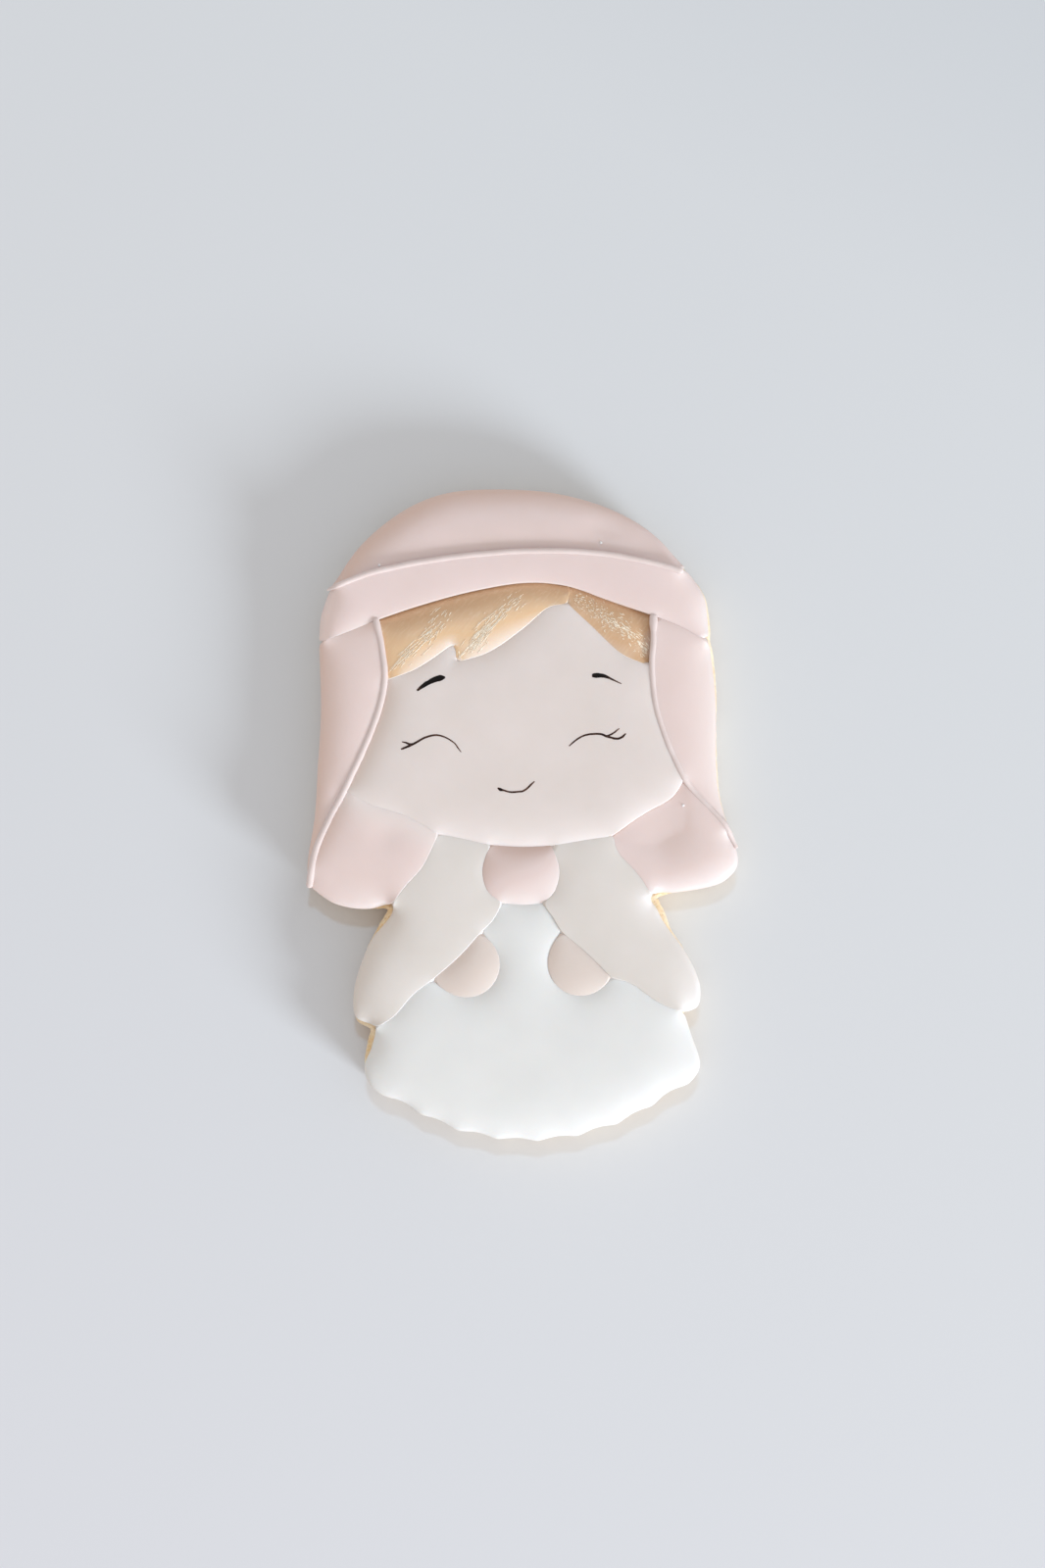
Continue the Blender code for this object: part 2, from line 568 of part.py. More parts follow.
icing = {name: material(f"icing_{name}", colour, ICING_ROUGHNESS) for name, colour in ICING.items()}
biscuit(material("baked_biscuit", BISCUIT_COLOUR, BISCUIT_ROUGHNESS))
veil(icing["blush"])
head(icing["cream"], icing["gold"])
gown(icing["ivory"], icing["palm"], icing["blush"], icing["white"])
thread("thread_brow", BROW_SEAM[:-1] + [(24.4, 37.7)], icing["thread"])
thread("thread_left", VEIL_SEAM_LEFT, icing["thread"])
thread("thread_right", VEIL_SEAM_RIGHT, icing["thread"])
centre_on_box()
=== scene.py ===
"""An iced christmas biscuit: a veiled girl in flooded royal icing on a slab of baked sugar dough.

The work goes in a baker's order: the slab, the icing from the lowest panel to the highest, the piped threads,
the pen work on the face, the lustre brushed on the hair, and last the table, the light and the camera.
Lengths are millimetres until a piece is made, and metres from there on.
"""

import math
import random

import bpy
import numpy as np
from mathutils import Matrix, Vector, noise
from mathutils.bvhtree import BVHTree
from mathutils.geometry import delaunay_2d_cdt


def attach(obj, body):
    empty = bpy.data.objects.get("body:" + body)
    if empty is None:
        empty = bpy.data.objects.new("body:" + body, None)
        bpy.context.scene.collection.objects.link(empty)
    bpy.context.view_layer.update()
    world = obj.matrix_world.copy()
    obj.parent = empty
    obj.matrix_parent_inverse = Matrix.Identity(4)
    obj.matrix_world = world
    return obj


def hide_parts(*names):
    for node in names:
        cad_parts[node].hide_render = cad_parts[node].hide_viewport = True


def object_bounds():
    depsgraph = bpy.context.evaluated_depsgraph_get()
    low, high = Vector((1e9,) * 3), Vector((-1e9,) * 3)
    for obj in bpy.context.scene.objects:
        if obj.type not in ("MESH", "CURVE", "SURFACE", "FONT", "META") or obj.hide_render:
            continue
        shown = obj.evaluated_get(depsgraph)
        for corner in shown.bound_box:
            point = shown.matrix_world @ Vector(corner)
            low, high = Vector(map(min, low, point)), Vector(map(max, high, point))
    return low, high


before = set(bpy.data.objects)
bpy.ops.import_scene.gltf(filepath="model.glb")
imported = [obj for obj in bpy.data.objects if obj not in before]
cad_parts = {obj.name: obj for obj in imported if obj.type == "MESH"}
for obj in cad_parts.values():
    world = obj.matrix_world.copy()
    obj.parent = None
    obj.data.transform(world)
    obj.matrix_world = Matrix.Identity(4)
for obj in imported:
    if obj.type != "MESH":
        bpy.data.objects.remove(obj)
cad_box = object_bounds()

# The baked slab. Sugar dough rolled 6.5 mm thick, cut with a figure cutter and baked until it is pale gold.
# Its wall is a dry, fine crumb, browner at the foot and the top edge, and its underside lay on a baking sheet.

MM = 0.001
SLAB_TOP = 6.5
SLAB_EDGE = 0.9
SLAB_STEP = 0.4
SLAB_SPREAD = 1.1
SLAB_PROFILE = (
    (0.95, 0.0), (0.45, 0.03), (0.2, 0.14), (0.06, 0.32), (0.0, 0.62), (0.0, 1.15), (0.0, 1.75), (0.0, 2.4),
    (0.0, 3.05), (0.0, 3.7), (0.0, 4.35), (0.0, 4.95), (0.03, 5.45), (0.12, 5.85), (0.3, 6.18), (0.56, 6.4),
    (0.9, 6.5), (1.3, 6.5),
)
CRUMB_DEPTH = 0.13
CRUMB_ACROSS = 0.9
CRUMB_UP = 1.3
PIT_DEPTH = 0.2
PIT_RARITY = 0.25
PITS_PER_MM = 2.3
WALL_FADE = 0.6
TOP_CRUMB = 0.2
TOP_FROM = 5
TOP_RIPPLE = 0.05
TOP_RIPPLE_SIZE = 1.7
FLAT_DENT = 0.035
FLAT_DENT_SIZE = 2.2


def wall_line(node):
    """The line that a node's upright wall stands on, anticlockwise, as points in millimetres."""
    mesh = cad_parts[node].data
    spots = [tuple(round(value / MM, 3) for value in vertex.co) for vertex in mesh.vertices]
    walls = [face for face in mesh.polygons if abs(face.normal.z) < 0.1]
    lowest = min(spots[index][2] for face in walls for index in face.vertices) + 0.01
    follows = {}
    for face in walls:
        corners = [spots[index] for index in face.vertices]
        for start, end in zip(corners, corners[1:] + corners[:1]):
            if max(start[2], end[2]) < lowest:
                follows[start[:2]] = end[:2]
    line = [next(iter(follows))]
    while follows[line[-1]] != line[0]:
        line.append(follows[line[-1]])
    return np.array(line)


def evenly(line, step, closed=True):
    """The same line with its points a step apart."""
    ring = np.vstack([line, line[:1]]) if closed else line
    travel = np.concatenate([[0], np.cumsum(np.linalg.norm(np.diff(ring[:, :2], axis=0), axis=1))])
    count = max(int(round(travel[-1] / step)), 3)
    stops = np.linspace(0, travel[-1], count + (not closed), endpoint=not closed)
    return np.column_stack([np.interp(stops, travel, ring[:, k]) for k in range(ring.shape[1])])


def drawn(knots, step, closed=True):
    """A smooth line through the knots, with its points a step apart."""
    knots = np.array(knots, float)
    if not closed:
        knots = np.vstack([2 * knots[0] - knots[1], knots, 2 * knots[-1] - knots[-2]])
    before, after, beyond = (np.roll(knots, shift, axis=0) for shift in (1, -1, -2))
    pace = [np.sqrt(np.linalg.norm((b - a)[:, :2], axis=1))[:, None] + 1e-9
            for a, b in ((before, knots), (knots, after), (after, beyond))]
    leave = after - knots + pace[1] * ((knots - before) / pace[0] - (after - before) / (pace[0] + pace[1]))
    arrive = after - knots + pace[1] * ((beyond - after) / pace[2] - (beyond - knots) / (pace[1] + pace[2]))
    runs = []
    for t in np.linspace(0, 1, 14, endpoint=False):
        runs.append((2 * t**3 - 3 * t**2 + 1) * knots + (t**3 - 2 * t**2 + t) * leave
                    + (3 * t**2 - 2 * t**3) * after + (t**3 - t**2) * arrive)
    line = np.stack(runs, axis=1)
    if not closed:
        line = np.vstack([line[1:-2].reshape(-1, knots.shape[1]), knots[-2:-1]])
        return evenly(line, step, closed=False)
    return evenly(line.reshape(-1, knots.shape[1]), step)


def inward(line):
    """Unit steps towards the inside of a closed anticlockwise line."""
    along = np.roll(line, -1, axis=0) - np.roll(line, 1, axis=0)
    turned = np.column_stack([-along[:, 1], along[:, 0]])
    return turned / np.linalg.norm(turned, axis=1)[:, None]


def evened(values, passes):
    """Values round a closed line, each shared with its neighbours again and again."""
    for _ in range(passes):
        values = 0.5 * values + 0.25 * (np.roll(values, 1, axis=0) + np.roll(values, -1, axis=0))
    return values


def spans(points, line):
    """The distance from each point to each point of a line."""
    return np.sqrt(((points[:, None, :2] - line[None, :, :2]) ** 2).sum(2))


def within(points, line):
    """Which points are inside a closed line."""
    x, y = points[:, 0][:, None], points[:, 1][:, None]
    x0, y0 = line[:, 0][None], line[:, 1][None]
    x1, y1 = np.roll(line[:, 0], -1)[None], np.roll(line[:, 1], -1)[None]
    rise = np.where(y1 == y0, 1e-12, y1 - y0)
    return (((y0 > y) != (y1 > y)) & (x < (x1 - x0) * (y - y0) / rise + x0)).sum(1) % 2 == 1


def scattered(line, spread, clear):
    """Evenly packed points inside a closed line, clear of it."""
    low, high = line.min(0), line.max(0)
    found = []
    for row, y in enumerate(np.arange(low[1], high[1], spread * 0.866)):
        x = np.arange(low[0] + (row % 2) * spread / 2, high[0], spread)
        found.append(np.column_stack([x, np.full(len(x), y)]))
    found = np.vstack(found)
    found = found[within(found, line)]
    return found[spans(found, line).min(1) > clear]


def sheeted(line, inner):
    """Triangles over the inside of a closed line, which use its points and the inner points."""
    points = np.vstack([line[:, :2], inner]) if len(inner) else line[:, :2]
    edges = [(k, (k + 1) % len(line)) for k in range(len(line))]
    out, _, faces, origins, _, _ = delaunay_2d_cdt([Vector(p) for p in points], edges, [], 1, 1e-6)
    points = [tuple(p) for p in points]
    place = []
    for spot, origin in zip(out, origins):
        if not origin:
            points.append(tuple(spot))
        place.append(origin[0] if origin else len(points) - 1)
    return np.array(points), [tuple(place[k] for k in face) for face in faces]


def rolling(x, y, size, seed):
    """Smooth ups and downs between -1 and 1, about size millimetres across."""
    return noise.noise(Vector((x / size, y / size, seed)))


def made(name, points, faces, finish, node=None):
    """A finished piece from points in millimetres, riding on the part."""
    mesh = bpy.data.meshes.new(name)
    mesh.from_pydata([tuple(float(value) * MM for value in point) for point in points], [], faces)
    mesh.update()
    mesh.shade_smooth()
    mesh.materials.append(finish)
    piece = bpy.data.objects.new(name, mesh)
    bpy.context.scene.collection.objects.link(piece)
    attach(piece, "root")
    if node:
        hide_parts(node)
    return piece


def tint(red, green, blue):
    """A colour as read off a picture, from 0 to 255, as the light that it gives back."""
    parts = (value / 255 for value in (red, green, blue))
    return tuple(p / 12.92 if p < 0.04 else ((p + 0.055) / 1.055) ** 2.4 for p in parts) + (1.0,)


def blank(name, **settings):
    """A new material, its nodes and its shader, with plain settings on the shader's own sockets."""
    material = bpy.data.materials.new(name)
    material.use_nodes = True
    shader = material.node_tree.nodes["Principled BSDF"]
    for socket, value in settings.items():
        shader.inputs[socket.replace("_", " ")].default_value = value
    return material, material.node_tree, shader


def wired(tree, kind, inputs, **settings):
    """A new node with its settings, and with values or other nodes' outputs at its inputs."""
    node = tree.nodes.new(kind)
    for key, value in settings.items():
        setattr(node, key, value)
    for socket, value in inputs.items():
        if isinstance(value, bpy.types.NodeSocket):
            tree.links.new(value, node.inputs[socket])
        else:
            node.inputs[socket].default_value = value
    return node


def placed(tree):
    """Places on the piece itself, in metres."""
    return wired(tree, "ShaderNodeTexCoord", {}).outputs["Object"]


def cloudy(tree, place, per_metre, detail):
    """Soft noise with so many patches to the metre."""
    return wired(tree, "ShaderNodeTexNoise", {"Vector": place, "Scale": per_metre, "Detail": detail}).outputs["Fac"]


def graded(tree, factor, stops):
    """Colours picked along a factor."""
    ramp = wired(tree, "ShaderNodeValToRGB", {"Fac": factor})
    band = ramp.color_ramp
    while len(band.elements) < len(stops):
        band.elements.new(0.5)
    for element, (at, colour) in zip(band.elements, stops):
        element.position = at
        element.color = colour
    return ramp.outputs["Color"]


def blended(tree, factor, first, second):
    """Two colours mixed by a factor."""
    return wired(tree, "ShaderNodeMix", {0: factor, 6: first, 7: second}, data_type="RGBA").outputs[2]


def ranged(tree, value, low, high, to_low=0.0, to_high=1.0):
    """A value carried from one range into another."""
    inputs = {"Value": value, "From Min": low, "From Max": high, "To Min": to_low, "To Max": to_high}
    return wired(tree, "ShaderNodeMapRange", inputs).outputs["Result"]


def finished(tree, shader, colour, roughness, layers):
    """A shader with its colour, its roughness and its bumps, each layer of them with a height in millimetres."""
    tree.links.new(colour, shader.inputs["Base Color"])
    tree.links.new(roughness, shader.inputs["Roughness"])
    normal = None
    for height, depth in layers:
        inputs = {"Height": height, "Distance": depth * MM, "Strength": 1.0}
        if normal:
            inputs["Normal"] = normal
        normal = wired(tree, "ShaderNodeBump", inputs).outputs["Normal"]
    tree.links.new(normal, shader.inputs["Normal"])


def baked_dough():
    """Dry pale gold dough: toasted by height, mottled, with a fine crumb and small holes that carry painted shade."""
    material, tree, shader = blank("baked_dough", Specular_IOR_Level=0.22, Subsurface_Weight=0.12,
                                   Subsurface_Radius=(1.0, 0.6, 0.3), Subsurface_Scale=0.0012)
    place = placed(tree)
    height = wired(tree, "ShaderNodeSeparateXYZ", {"Vector": place}).outputs["Z"]
    patches = cloudy(tree, place, 220.0, 4.0)
    crumbs = cloudy(tree, place, 2400.0, 5.0)
    lifted = wired(tree, "ShaderNodeMath", {0: ranged(tree, height, 0.0, SLAB_TOP * MM), 1: patches},
                   operation="ADD").outputs[0]
    level = ranged(tree, lifted, 0.42, 1.58)
    toast = graded(tree, level, (
        (0.0, tint(205, 165, 118)), (0.14, tint(219, 184, 138)), (0.35, tint(240, 218, 184)),
        (0.75, tint(241, 226, 199)), (1.0, tint(228, 192, 142))))
    speckled = blended(tree, ranged(tree, crumbs, 0.35, 0.7, 0.0, 0.5), toast, tint(246, 234, 212))
    pores = wired(tree, "ShaderNodeTexVoronoi", {"Vector": place, "Scale": 900.0}).outputs["Distance"]
    # The small holes are painted darker: painted shade in the pits.
    pores_painted_dark = blended(tree, ranged(tree, pores, 0.05, 0.22, 0.55, 0.0), speckled, tint(192, 150, 102))
    roughness = ranged(tree, patches, 0.3, 0.7, 0.72, 0.88)
    finished(tree, shader, pores_painted_dark, roughness, ((crumbs, 0.16), (pores, 0.12), (patches, 0.2)))
    return material


ICING_NODES = (
    "dress", "hand_left", "hand_right", "sleeve_left", "sleeve_right", "veil_tail_left", "veil_tail_right",
    "veil_knot", "face", "fringe_left", "fringe_right", "veil_side_left", "veil_side_right", "veil_crown",
    "veil_band",
)
LINE_STEP = 0.35
HIDDEN_MARGIN = -0.14
# Patches of the rim, each with its place, its reach, and the width of bare dough or the outward shift there.
BARE_PATCHES = (
    (28.7, 25.5, 15.0, 0.55), (30.4, 6.0, 12.0, 0.35), (19.5, -15.5, 4.6, 1.7), (23.5, -17.5, 4.5, 0.3),
    (25.0, -12.2, 9.0, 0.15), (-19.0, -16.5, 4.8, 1.5), (-23.0, -18.5, 5.0, 0.22), (-25.5, -14.5, 6.0, 0.14),
    (-23.8, -34.4, 4.4, 1.1),
)
BARE_ROUNDNESS = 0.7
SPREAD_PATCHES = ((28.5, 23.0, 19.0, 0.5),)
SHORT_PATCHES = ((-18.8, -16.2, 4.8, -0.6), (-23.6, -33.8, 4.0, -0.4), (19.2, -14.8, 4.6, -0.45))
RIM_NEARNESS = 0.8
PATCH_FADE = 2.2
box_low, box_high = (np.array(corner)[:2] / MM for corner in cad_box)
panel_lines = {node: np.clip(drawn(wall_line(node), LINE_STEP), box_low, box_high) for node in ICING_NODES}
slab_line = drawn(wall_line("biscuit"), SLAB_STEP)


def nudged(line, patches, outline):
    """A line moved outward by each patch's shift, where it runs beside the outline."""
    push = np.zeros(len(line))
    for x, y, reach, shift in patches:
        away = np.linalg.norm(line - (x, y), axis=1) / reach
        push += shift * np.clip(PATCH_FADE * (1 - away), 0, 1)
    push = evened(push * (spans(line, outline).min(1) < RIM_NEARNESS), 4)
    return line - inward(line) * push[:, None]


panel_lines = {node: nudged(line, SPREAD_PATCHES + SHORT_PATCHES, slab_line) for node, line in panel_lines.items()}
slab_line = nudged(slab_line, SPREAD_PATCHES, slab_line)
margin = np.min([spans(slab_line, line).min(1) for line in panel_lines.values()], axis=0)
margin[np.any([within(slab_line, line) for line in panel_lines.values()], axis=0)] *= -1
wanted = np.full(len(slab_line), HIDDEN_MARGIN)
for x, y, reach, widest in BARE_PATCHES:
    away = np.linalg.norm(slab_line - (x, y), axis=1) / reach
    bare = widest * np.clip(1 - away, 0, 1) ** BARE_ROUNDNESS
    wanted = np.maximum(wanted, bare + HIDDEN_MARGIN * (away > 1))
slab_inward = evened(inward(slab_line), 2)
slab_line = slab_line + slab_inward * evened(np.maximum(margin - wanted, 0.0), 4)[:, None]
slab_points = []
slab_faces = []
slab_count = len(slab_line)
for inset, z in SLAB_PROFILE:
    for (x, y), (step_x, step_y) in zip(slab_line, slab_inward):
        on_wall = min(1.0, z / WALL_FADE, (SLAB_TOP + TOP_CRUMB - z) / WALL_FADE)
        grain = noise.noise(Vector((x * CRUMB_ACROSS, y * CRUMB_ACROSS, z * CRUMB_UP)))
        pit_place = Vector((x * PITS_PER_MM + 40, y * PITS_PER_MM, z * PITS_PER_MM))
        pit = max(0.0, noise.noise(pit_place) - PIT_RARITY)
        push = inset + on_wall * (CRUMB_DEPTH * (0.55 + 0.45 * grain) + PIT_DEPTH * pit)
        lift = TOP_RIPPLE * rolling(x, y, TOP_RIPPLE_SIZE, 3.0) if z > TOP_FROM else 0.0
        slab_points.append((x + step_x * push, y + step_y * push, min(z + lift, SLAB_TOP) if z > 0 else 0.0))
for ring in range(len(SLAB_PROFILE) - 1):
    for k in range(slab_count):
        here, ahead = ring * slab_count + k, ring * slab_count + (k + 1) % slab_count
        slab_faces.append((here, ahead, ahead + slab_count, here + slab_count))
for ring, side in ((0, -1), (len(SLAB_PROFILE) - 1, 1)):
    first = ring * slab_count
    rim = np.array(slab_points[first:first + slab_count])[:, :2]
    spots, faces = sheeted(rim, scattered(rim, SLAB_SPREAD, SLAB_SPREAD * 0.6))
    place = {k: first + k for k in range(slab_count)}
    for k in range(slab_count, len(spots)):
        x, y = spots[k]
        place[k] = len(slab_points)
        dent = FLAT_DENT * (1 + rolling(x, y, FLAT_DENT_SIZE, 9.0))
        slab_points.append((x, y, SLAB_TOP - dent if side > 0 else dent))
    slab_faces += [tuple(place[k] for k in face[::side]) for face in faces]
made("baked_slab", slab_points, slab_faces, baked_dough(), "biscuit")

# The dress. White royal icing, flooded first over the whole skirt and chest, so every other panel laps onto it.
# Wet icing settles like any liquid: level in the middle, and rolling off in a long curve to each edge.

SEAM_REACH = 0.85
SEAM_LOOK = 0.5
SEAM_PUSH = 0.17
RIM_FOOT = 0.25
RIM_BRIM = 0.55
RIM_SHOULDER = 0.7
GROOVE = 0.03
LAPPED_SHOULDER = 0.13
LAPPING_LIFT = 0.03
LAPPING_SHOULDER = 0.05
RING_DEPTHS = (0.04, 0.12, 0.24, 0.4, 0.6, 0.85, 1.15, 1.5)
ICING_SPREAD = 0.5
RING_CLEARANCE = 0.93
SEAM_CLEARANCE = 0.9
SEAM_BLEND = 0.003
WAVE_SIZE = 7.0
TUCKS = ((0.05, 0.45), (0.16, 0.0))
FLARES = ((0.2, 0.16), (0.55, 0.7))
ON_DOUGH = 0.05
BASE_INSET = 0.3
BASE_DROP = 0.02
THIN_FILM = 0.6
STRONGEST_PULL = 8.0
MOST_ROUNDS = 600
AT_REST = 1e-12
WINDOW_HEADING = -42
FRONT_HEADING = -70
SATIN = 0.46
SATIN_VARIES = 0.06
laps = {}
skin_points = []
skin_faces = []


def lap(lower, upper):
    """How high above the slab the lower panel's edge lies where the upper panel covers it."""
    usual, special = laps[lower]
    return special.get(upper, usual)


def edge_of(node, lifts):
    """For each point of a panel's line: foot height, brim height, shoulder width and how much of it is seam."""
    line = panel_lines[node]
    others = [other for other in ICING_NODES if other != node]
    gaps = np.column_stack([spans(line, panel_lines[other]).min(1) for other in others])
    beyond = line - inward(line) * SEAM_LOOK
    faced = np.any([within(beyond, panel_lines[other]) for other in others], axis=0)
    outside = ~faced & (spans(line, slab_line).min(1) < SEAM_LOOK)
    rows = []
    for gap, nearest, at_rim in zip(gaps.min(1), gaps.argmin(1), outside):
        other = others[nearest]
        if gap > SEAM_REACH or at_rim:
            rows.append((RIM_FOOT, RIM_BRIM, RIM_SHOULDER, 0.0))
        elif other in laps:
            crease = lap(other, node)
            lift = lifts.get(other, LAPPING_LIFT)
            rows.append((crease - GROOVE, crease + lift, LAPPING_SHOULDER, 1.0))
        else:
            rows.append((lap(node, other) - GROOVE, lap(node, other), LAPPED_SHOULDER, 1.0))
    return evened(np.array(rows), 5)


def settled(points, faces, fixed, target, reach):
    """Heights of a liquid film: fixed at the edge, level with its target further in than its reach."""
    corners = np.array(faces)
    first, second, weight = [], [], []
    areas = np.zeros(len(points))
    for k in range(3):
        a, b, c = corners[:, k], corners[:, (k + 1) % 3], corners[:, (k + 2) % 3]
        u, v = points[b] - points[a], points[c] - points[a]
        cross = np.abs(u[:, 0] * v[:, 1] - u[:, 1] * v[:, 0]) + 1e-9
        np.add.at(areas, a, cross / 6)
        first.append(b)
        second.append(c)
        weight.append(np.clip((u * v).sum(1) / cross, 0.0, STRONGEST_PULL) / 2)
    first, second, weight = np.concatenate(first), np.concatenate(second), np.concatenate(weight)
    size = len(points)
    spring = areas / reach**2
    total = np.bincount(first, weight, size) + np.bincount(second, weight, size) + spring
    free = np.ones(size)
    free[:len(fixed)] = 0.0

    def pull(values):
        shared = np.bincount(first, weight * values[second], size) + np.bincount(second, weight * values[first], size)
        return total * values - shared

    heights = np.concatenate([fixed, target[len(fixed):]])
    left = (spring * target - pull(heights)) * free
    move = left / total
    slack = (left * move).sum()
    for _ in range(MOST_ROUNDS):
        if slack < AT_REST:
            break
        pulled = pull(move) * free
        share = slack / (move * pulled).sum()
        heights += share * move
        left -= share * pulled
        eased = left / total
        again = (left * eased).sum()
        move = eased + again / slack * move
        slack = again
    return heights


def bearing(heading):
    """A level step of length one towards a heading in degrees."""
    return math.cos(math.radians(heading)), math.sin(math.radians(heading))


def marked(piece, name, values):
    """A value at each point of a piece, for its material to read."""
    piece.data.attributes.new(name, "FLOAT", "POINT").data.foreach_set("value", values)


def flooded(name, node, finish, crest, reach, lapped, waviness=0.07, under=None, lifts=None, rim_reach=None,
            dents=(), ran_from=None):
    """One flooded panel. Its film settles towards the crest over its reach, or over rim_reach from a rim. Under later
    panels its seams lie at the lapped height, or at their own heights in under, and over earlier ones lifts says how
    far it stands above them. Its wall is tucked in at a rim and flares out under a neighbour at a seam. Dents are
    places where the icing sank as it dried, each with its radius and depth. Where it ran together with a wet
    neighbour, ran_from names the neighbour and how far its colour came."""
    laps[node] = (lapped, under or {})
    line = panel_lines[node]
    edge = edge_of(node, lifts or {})
    edge[:, 3] = np.clip(2 * edge[:, 3] - 1, 0, 1)
    moved = line - evened(inward(line), 1) * edge[:, 3:4] * SEAM_PUSH
    kept = spans(moved, line).min(1) >= SEAM_CLEARANCE * SEAM_PUSH * edge[:, 3]
    outer, edge = moved[kept], edge[kept]
    steps = evened(inward(outer), 1)
    inner = []
    for ring_depth in RING_DEPTHS:
        ring = outer + steps * ring_depth
        clear = within(ring, outer) & (spans(ring, outer).min(1) >= RING_CLEARANCE * ring_depth)
        inner.append(ring[clear])
    inner.append(scattered(outer, ICING_SPREAD, RING_DEPTHS[-1] + ICING_SPREAD * 0.45))
    points, faces = sheeted(outer, np.vstack(inner))
    away = spans(points, outer)
    nearness = 1 / (away**2 + SEAM_BLEND) ** 2
    local = nearness @ edge / nearness.sum(1)[:, None]
    target = np.array([crest + waviness * rolling(x, y, WAVE_SIZE, 21.0) for x, y in points])
    film = settled(points, faces, edge[:, 1], target, local[:, 3] * reach + (1 - local[:, 3]) * (rim_reach or reach))
    for x, y, radius, depth in dents:
        film -= depth * np.exp(-((points - (x, y)) ** 2).sum(1) / radius**2) * np.clip(away.min(1) / radius, 0, 1)
    rise = np.clip(away.min(1) / local[:, 2], 0, 1)
    heights = local[:, 0] + (film - local[:, 0]) * np.sqrt(np.clip(1 - (1 - rise) ** 2, 0, 1))
    count = len(outer)
    heights[:count] = edge[:, 0]
    tops = np.column_stack([points, heights + SLAB_TOP])
    from_slab_edge = np.where(within(outer, slab_line), spans(outer, slab_line).min(1), 0.0)
    body = [tuple(p) for p in tops]
    for (tuck, part), (flare, drop) in zip(TUCKS, FLARES):
        past = np.clip(SLAB_EDGE - from_slab_edge - tuck, 0, SLAB_EDGE)
        dough = np.sqrt(SLAB_EDGE**2 - past**2) - SLAB_EDGE - ON_DOUGH
        seam = edge[:, 3]
        wall = outer + steps * (tuck * (1 - seam) - flare * seam)[:, None]
        rim_height = edge[:, 0] * part + dough * (1 - part)
        height = rim_height * (1 - seam) + (edge[:, 0] - drop) * seam
        body += [(x, y, SLAB_TOP + z) for (x, y), z in zip(wall, height)]
    body_faces = [tuple(face) for face in faces]
    rings = [0] + [len(points) + k * count for k in range(3)]
    for top, bottom in zip(rings, rings[1:]):
        for k in range(count):
            ahead = (k + 1) % count
            body_faces.append((top + k, bottom + k, bottom + ahead, top + ahead))
    base = zip(outer + steps * BASE_INSET, height - BASE_DROP)
    body += [(x, y, SLAB_TOP + min(low, 0.0)) for (x, y), low in base]
    body_faces += [tuple(rings[3] + k for k in face[::-1]) for face in sheeted(outer, [])[1]]
    piece = made(name, body, body_faces, finish, node)
    marked(piece, "thinness", [min(1.0, max(0.0, 1.0 - (p[2] - SLAB_TOP) / THIN_FILM)) for p in body])
    slopes = np.array([corner.vector[:2] for corner in piece.data.vertex_normals])
    for side, heading in (("to_light", WINDOW_HEADING), ("to_front", FRONT_HEADING)):
        marked(piece, side, slopes @ bearing(heading))
    if ran_from:
        neighbour, distance = ran_from
        gap = spans(np.array(body), panel_lines[neighbour]).min(1)
        marked(piece, "ran_together", np.exp(-(gap / distance)**2))
    skin_faces.extend(tuple(len(skin_points) + k for k in face) for face in faces)
    skin_points.extend(tuple(p) for p in tops)


def carried(tree, name):
    """The value that a piece carries at each point under a name."""
    return wired(tree, "ShaderNodeAttribute", {}, attribute_name=name).outputs["Fac"]


def leaning(tree, colour, painted_light_side, painted_shade_side):
    """A colour blended to a painted light-side tint on slopes towards the window, and to a painted shade-side tint on
    slopes away from it: painted light and shade.
    """
    lean = carried(tree, "to_light")
    # Painted light and shade: the colour takes one tint on slopes that face the window and another on slopes that
    # face away.
    facing = blended(tree, ranged(tree, lean, 0.05, 0.45, 0.0, 0.85), colour, tint(*painted_light_side))
    return blended(tree, ranged(tree, lean, -0.05, -0.45, 0.0, 0.9), facing, tint(*painted_shade_side))


def set_icing(name, pale, deep, warm, painted_light_side, painted_shade_side, ran=None):
    """Set royal icing: satin, a little translucent, and faintly clouded from deep to pale. It is warm where it is
    thin, and carries painted light and shade: a light-side tint on slopes towards the window and a shade-side tint on
    slopes away from it. Ran is the colour that it shares with a neighbour."""
    material, tree, shader = blank(name, Specular_IOR_Level=0.52, Subsurface_Weight=0.18,
                                   Subsurface_Radius=(1.0, 0.72, 0.55), Subsurface_Scale=0.0011)
    place = placed(tree)
    clouds = cloudy(tree, place, 130.0, 3.0)
    grain = cloudy(tree, place, 1900.0, 4.0)
    skin = cloudy(tree, place, 420.0, 2.0)
    colour = leaning(tree, graded(tree, clouds, ((0.32, tint(*deep)), (0.68, tint(*pale)))), painted_light_side, painted_shade_side)
    thin = carried(tree, "thinness")
    edged = blended(tree, ranged(tree, thin, 0.0, 1.0, 0.0, 0.75), colour, tint(*warm))
    if ran:
        edged = blended(tree, ranged(tree, carried(tree, "ran_together"), 0.0, 1.0, 0.0, 0.8), edged, tint(*ran))
    roughness = ranged(tree, skin, 0.3, 0.7, SATIN - SATIN_VARIES, SATIN + SATIN_VARIES)
    finished(tree, shader, edged, roughness, ((skin, 0.02), (grain, 0.006)))
    return material


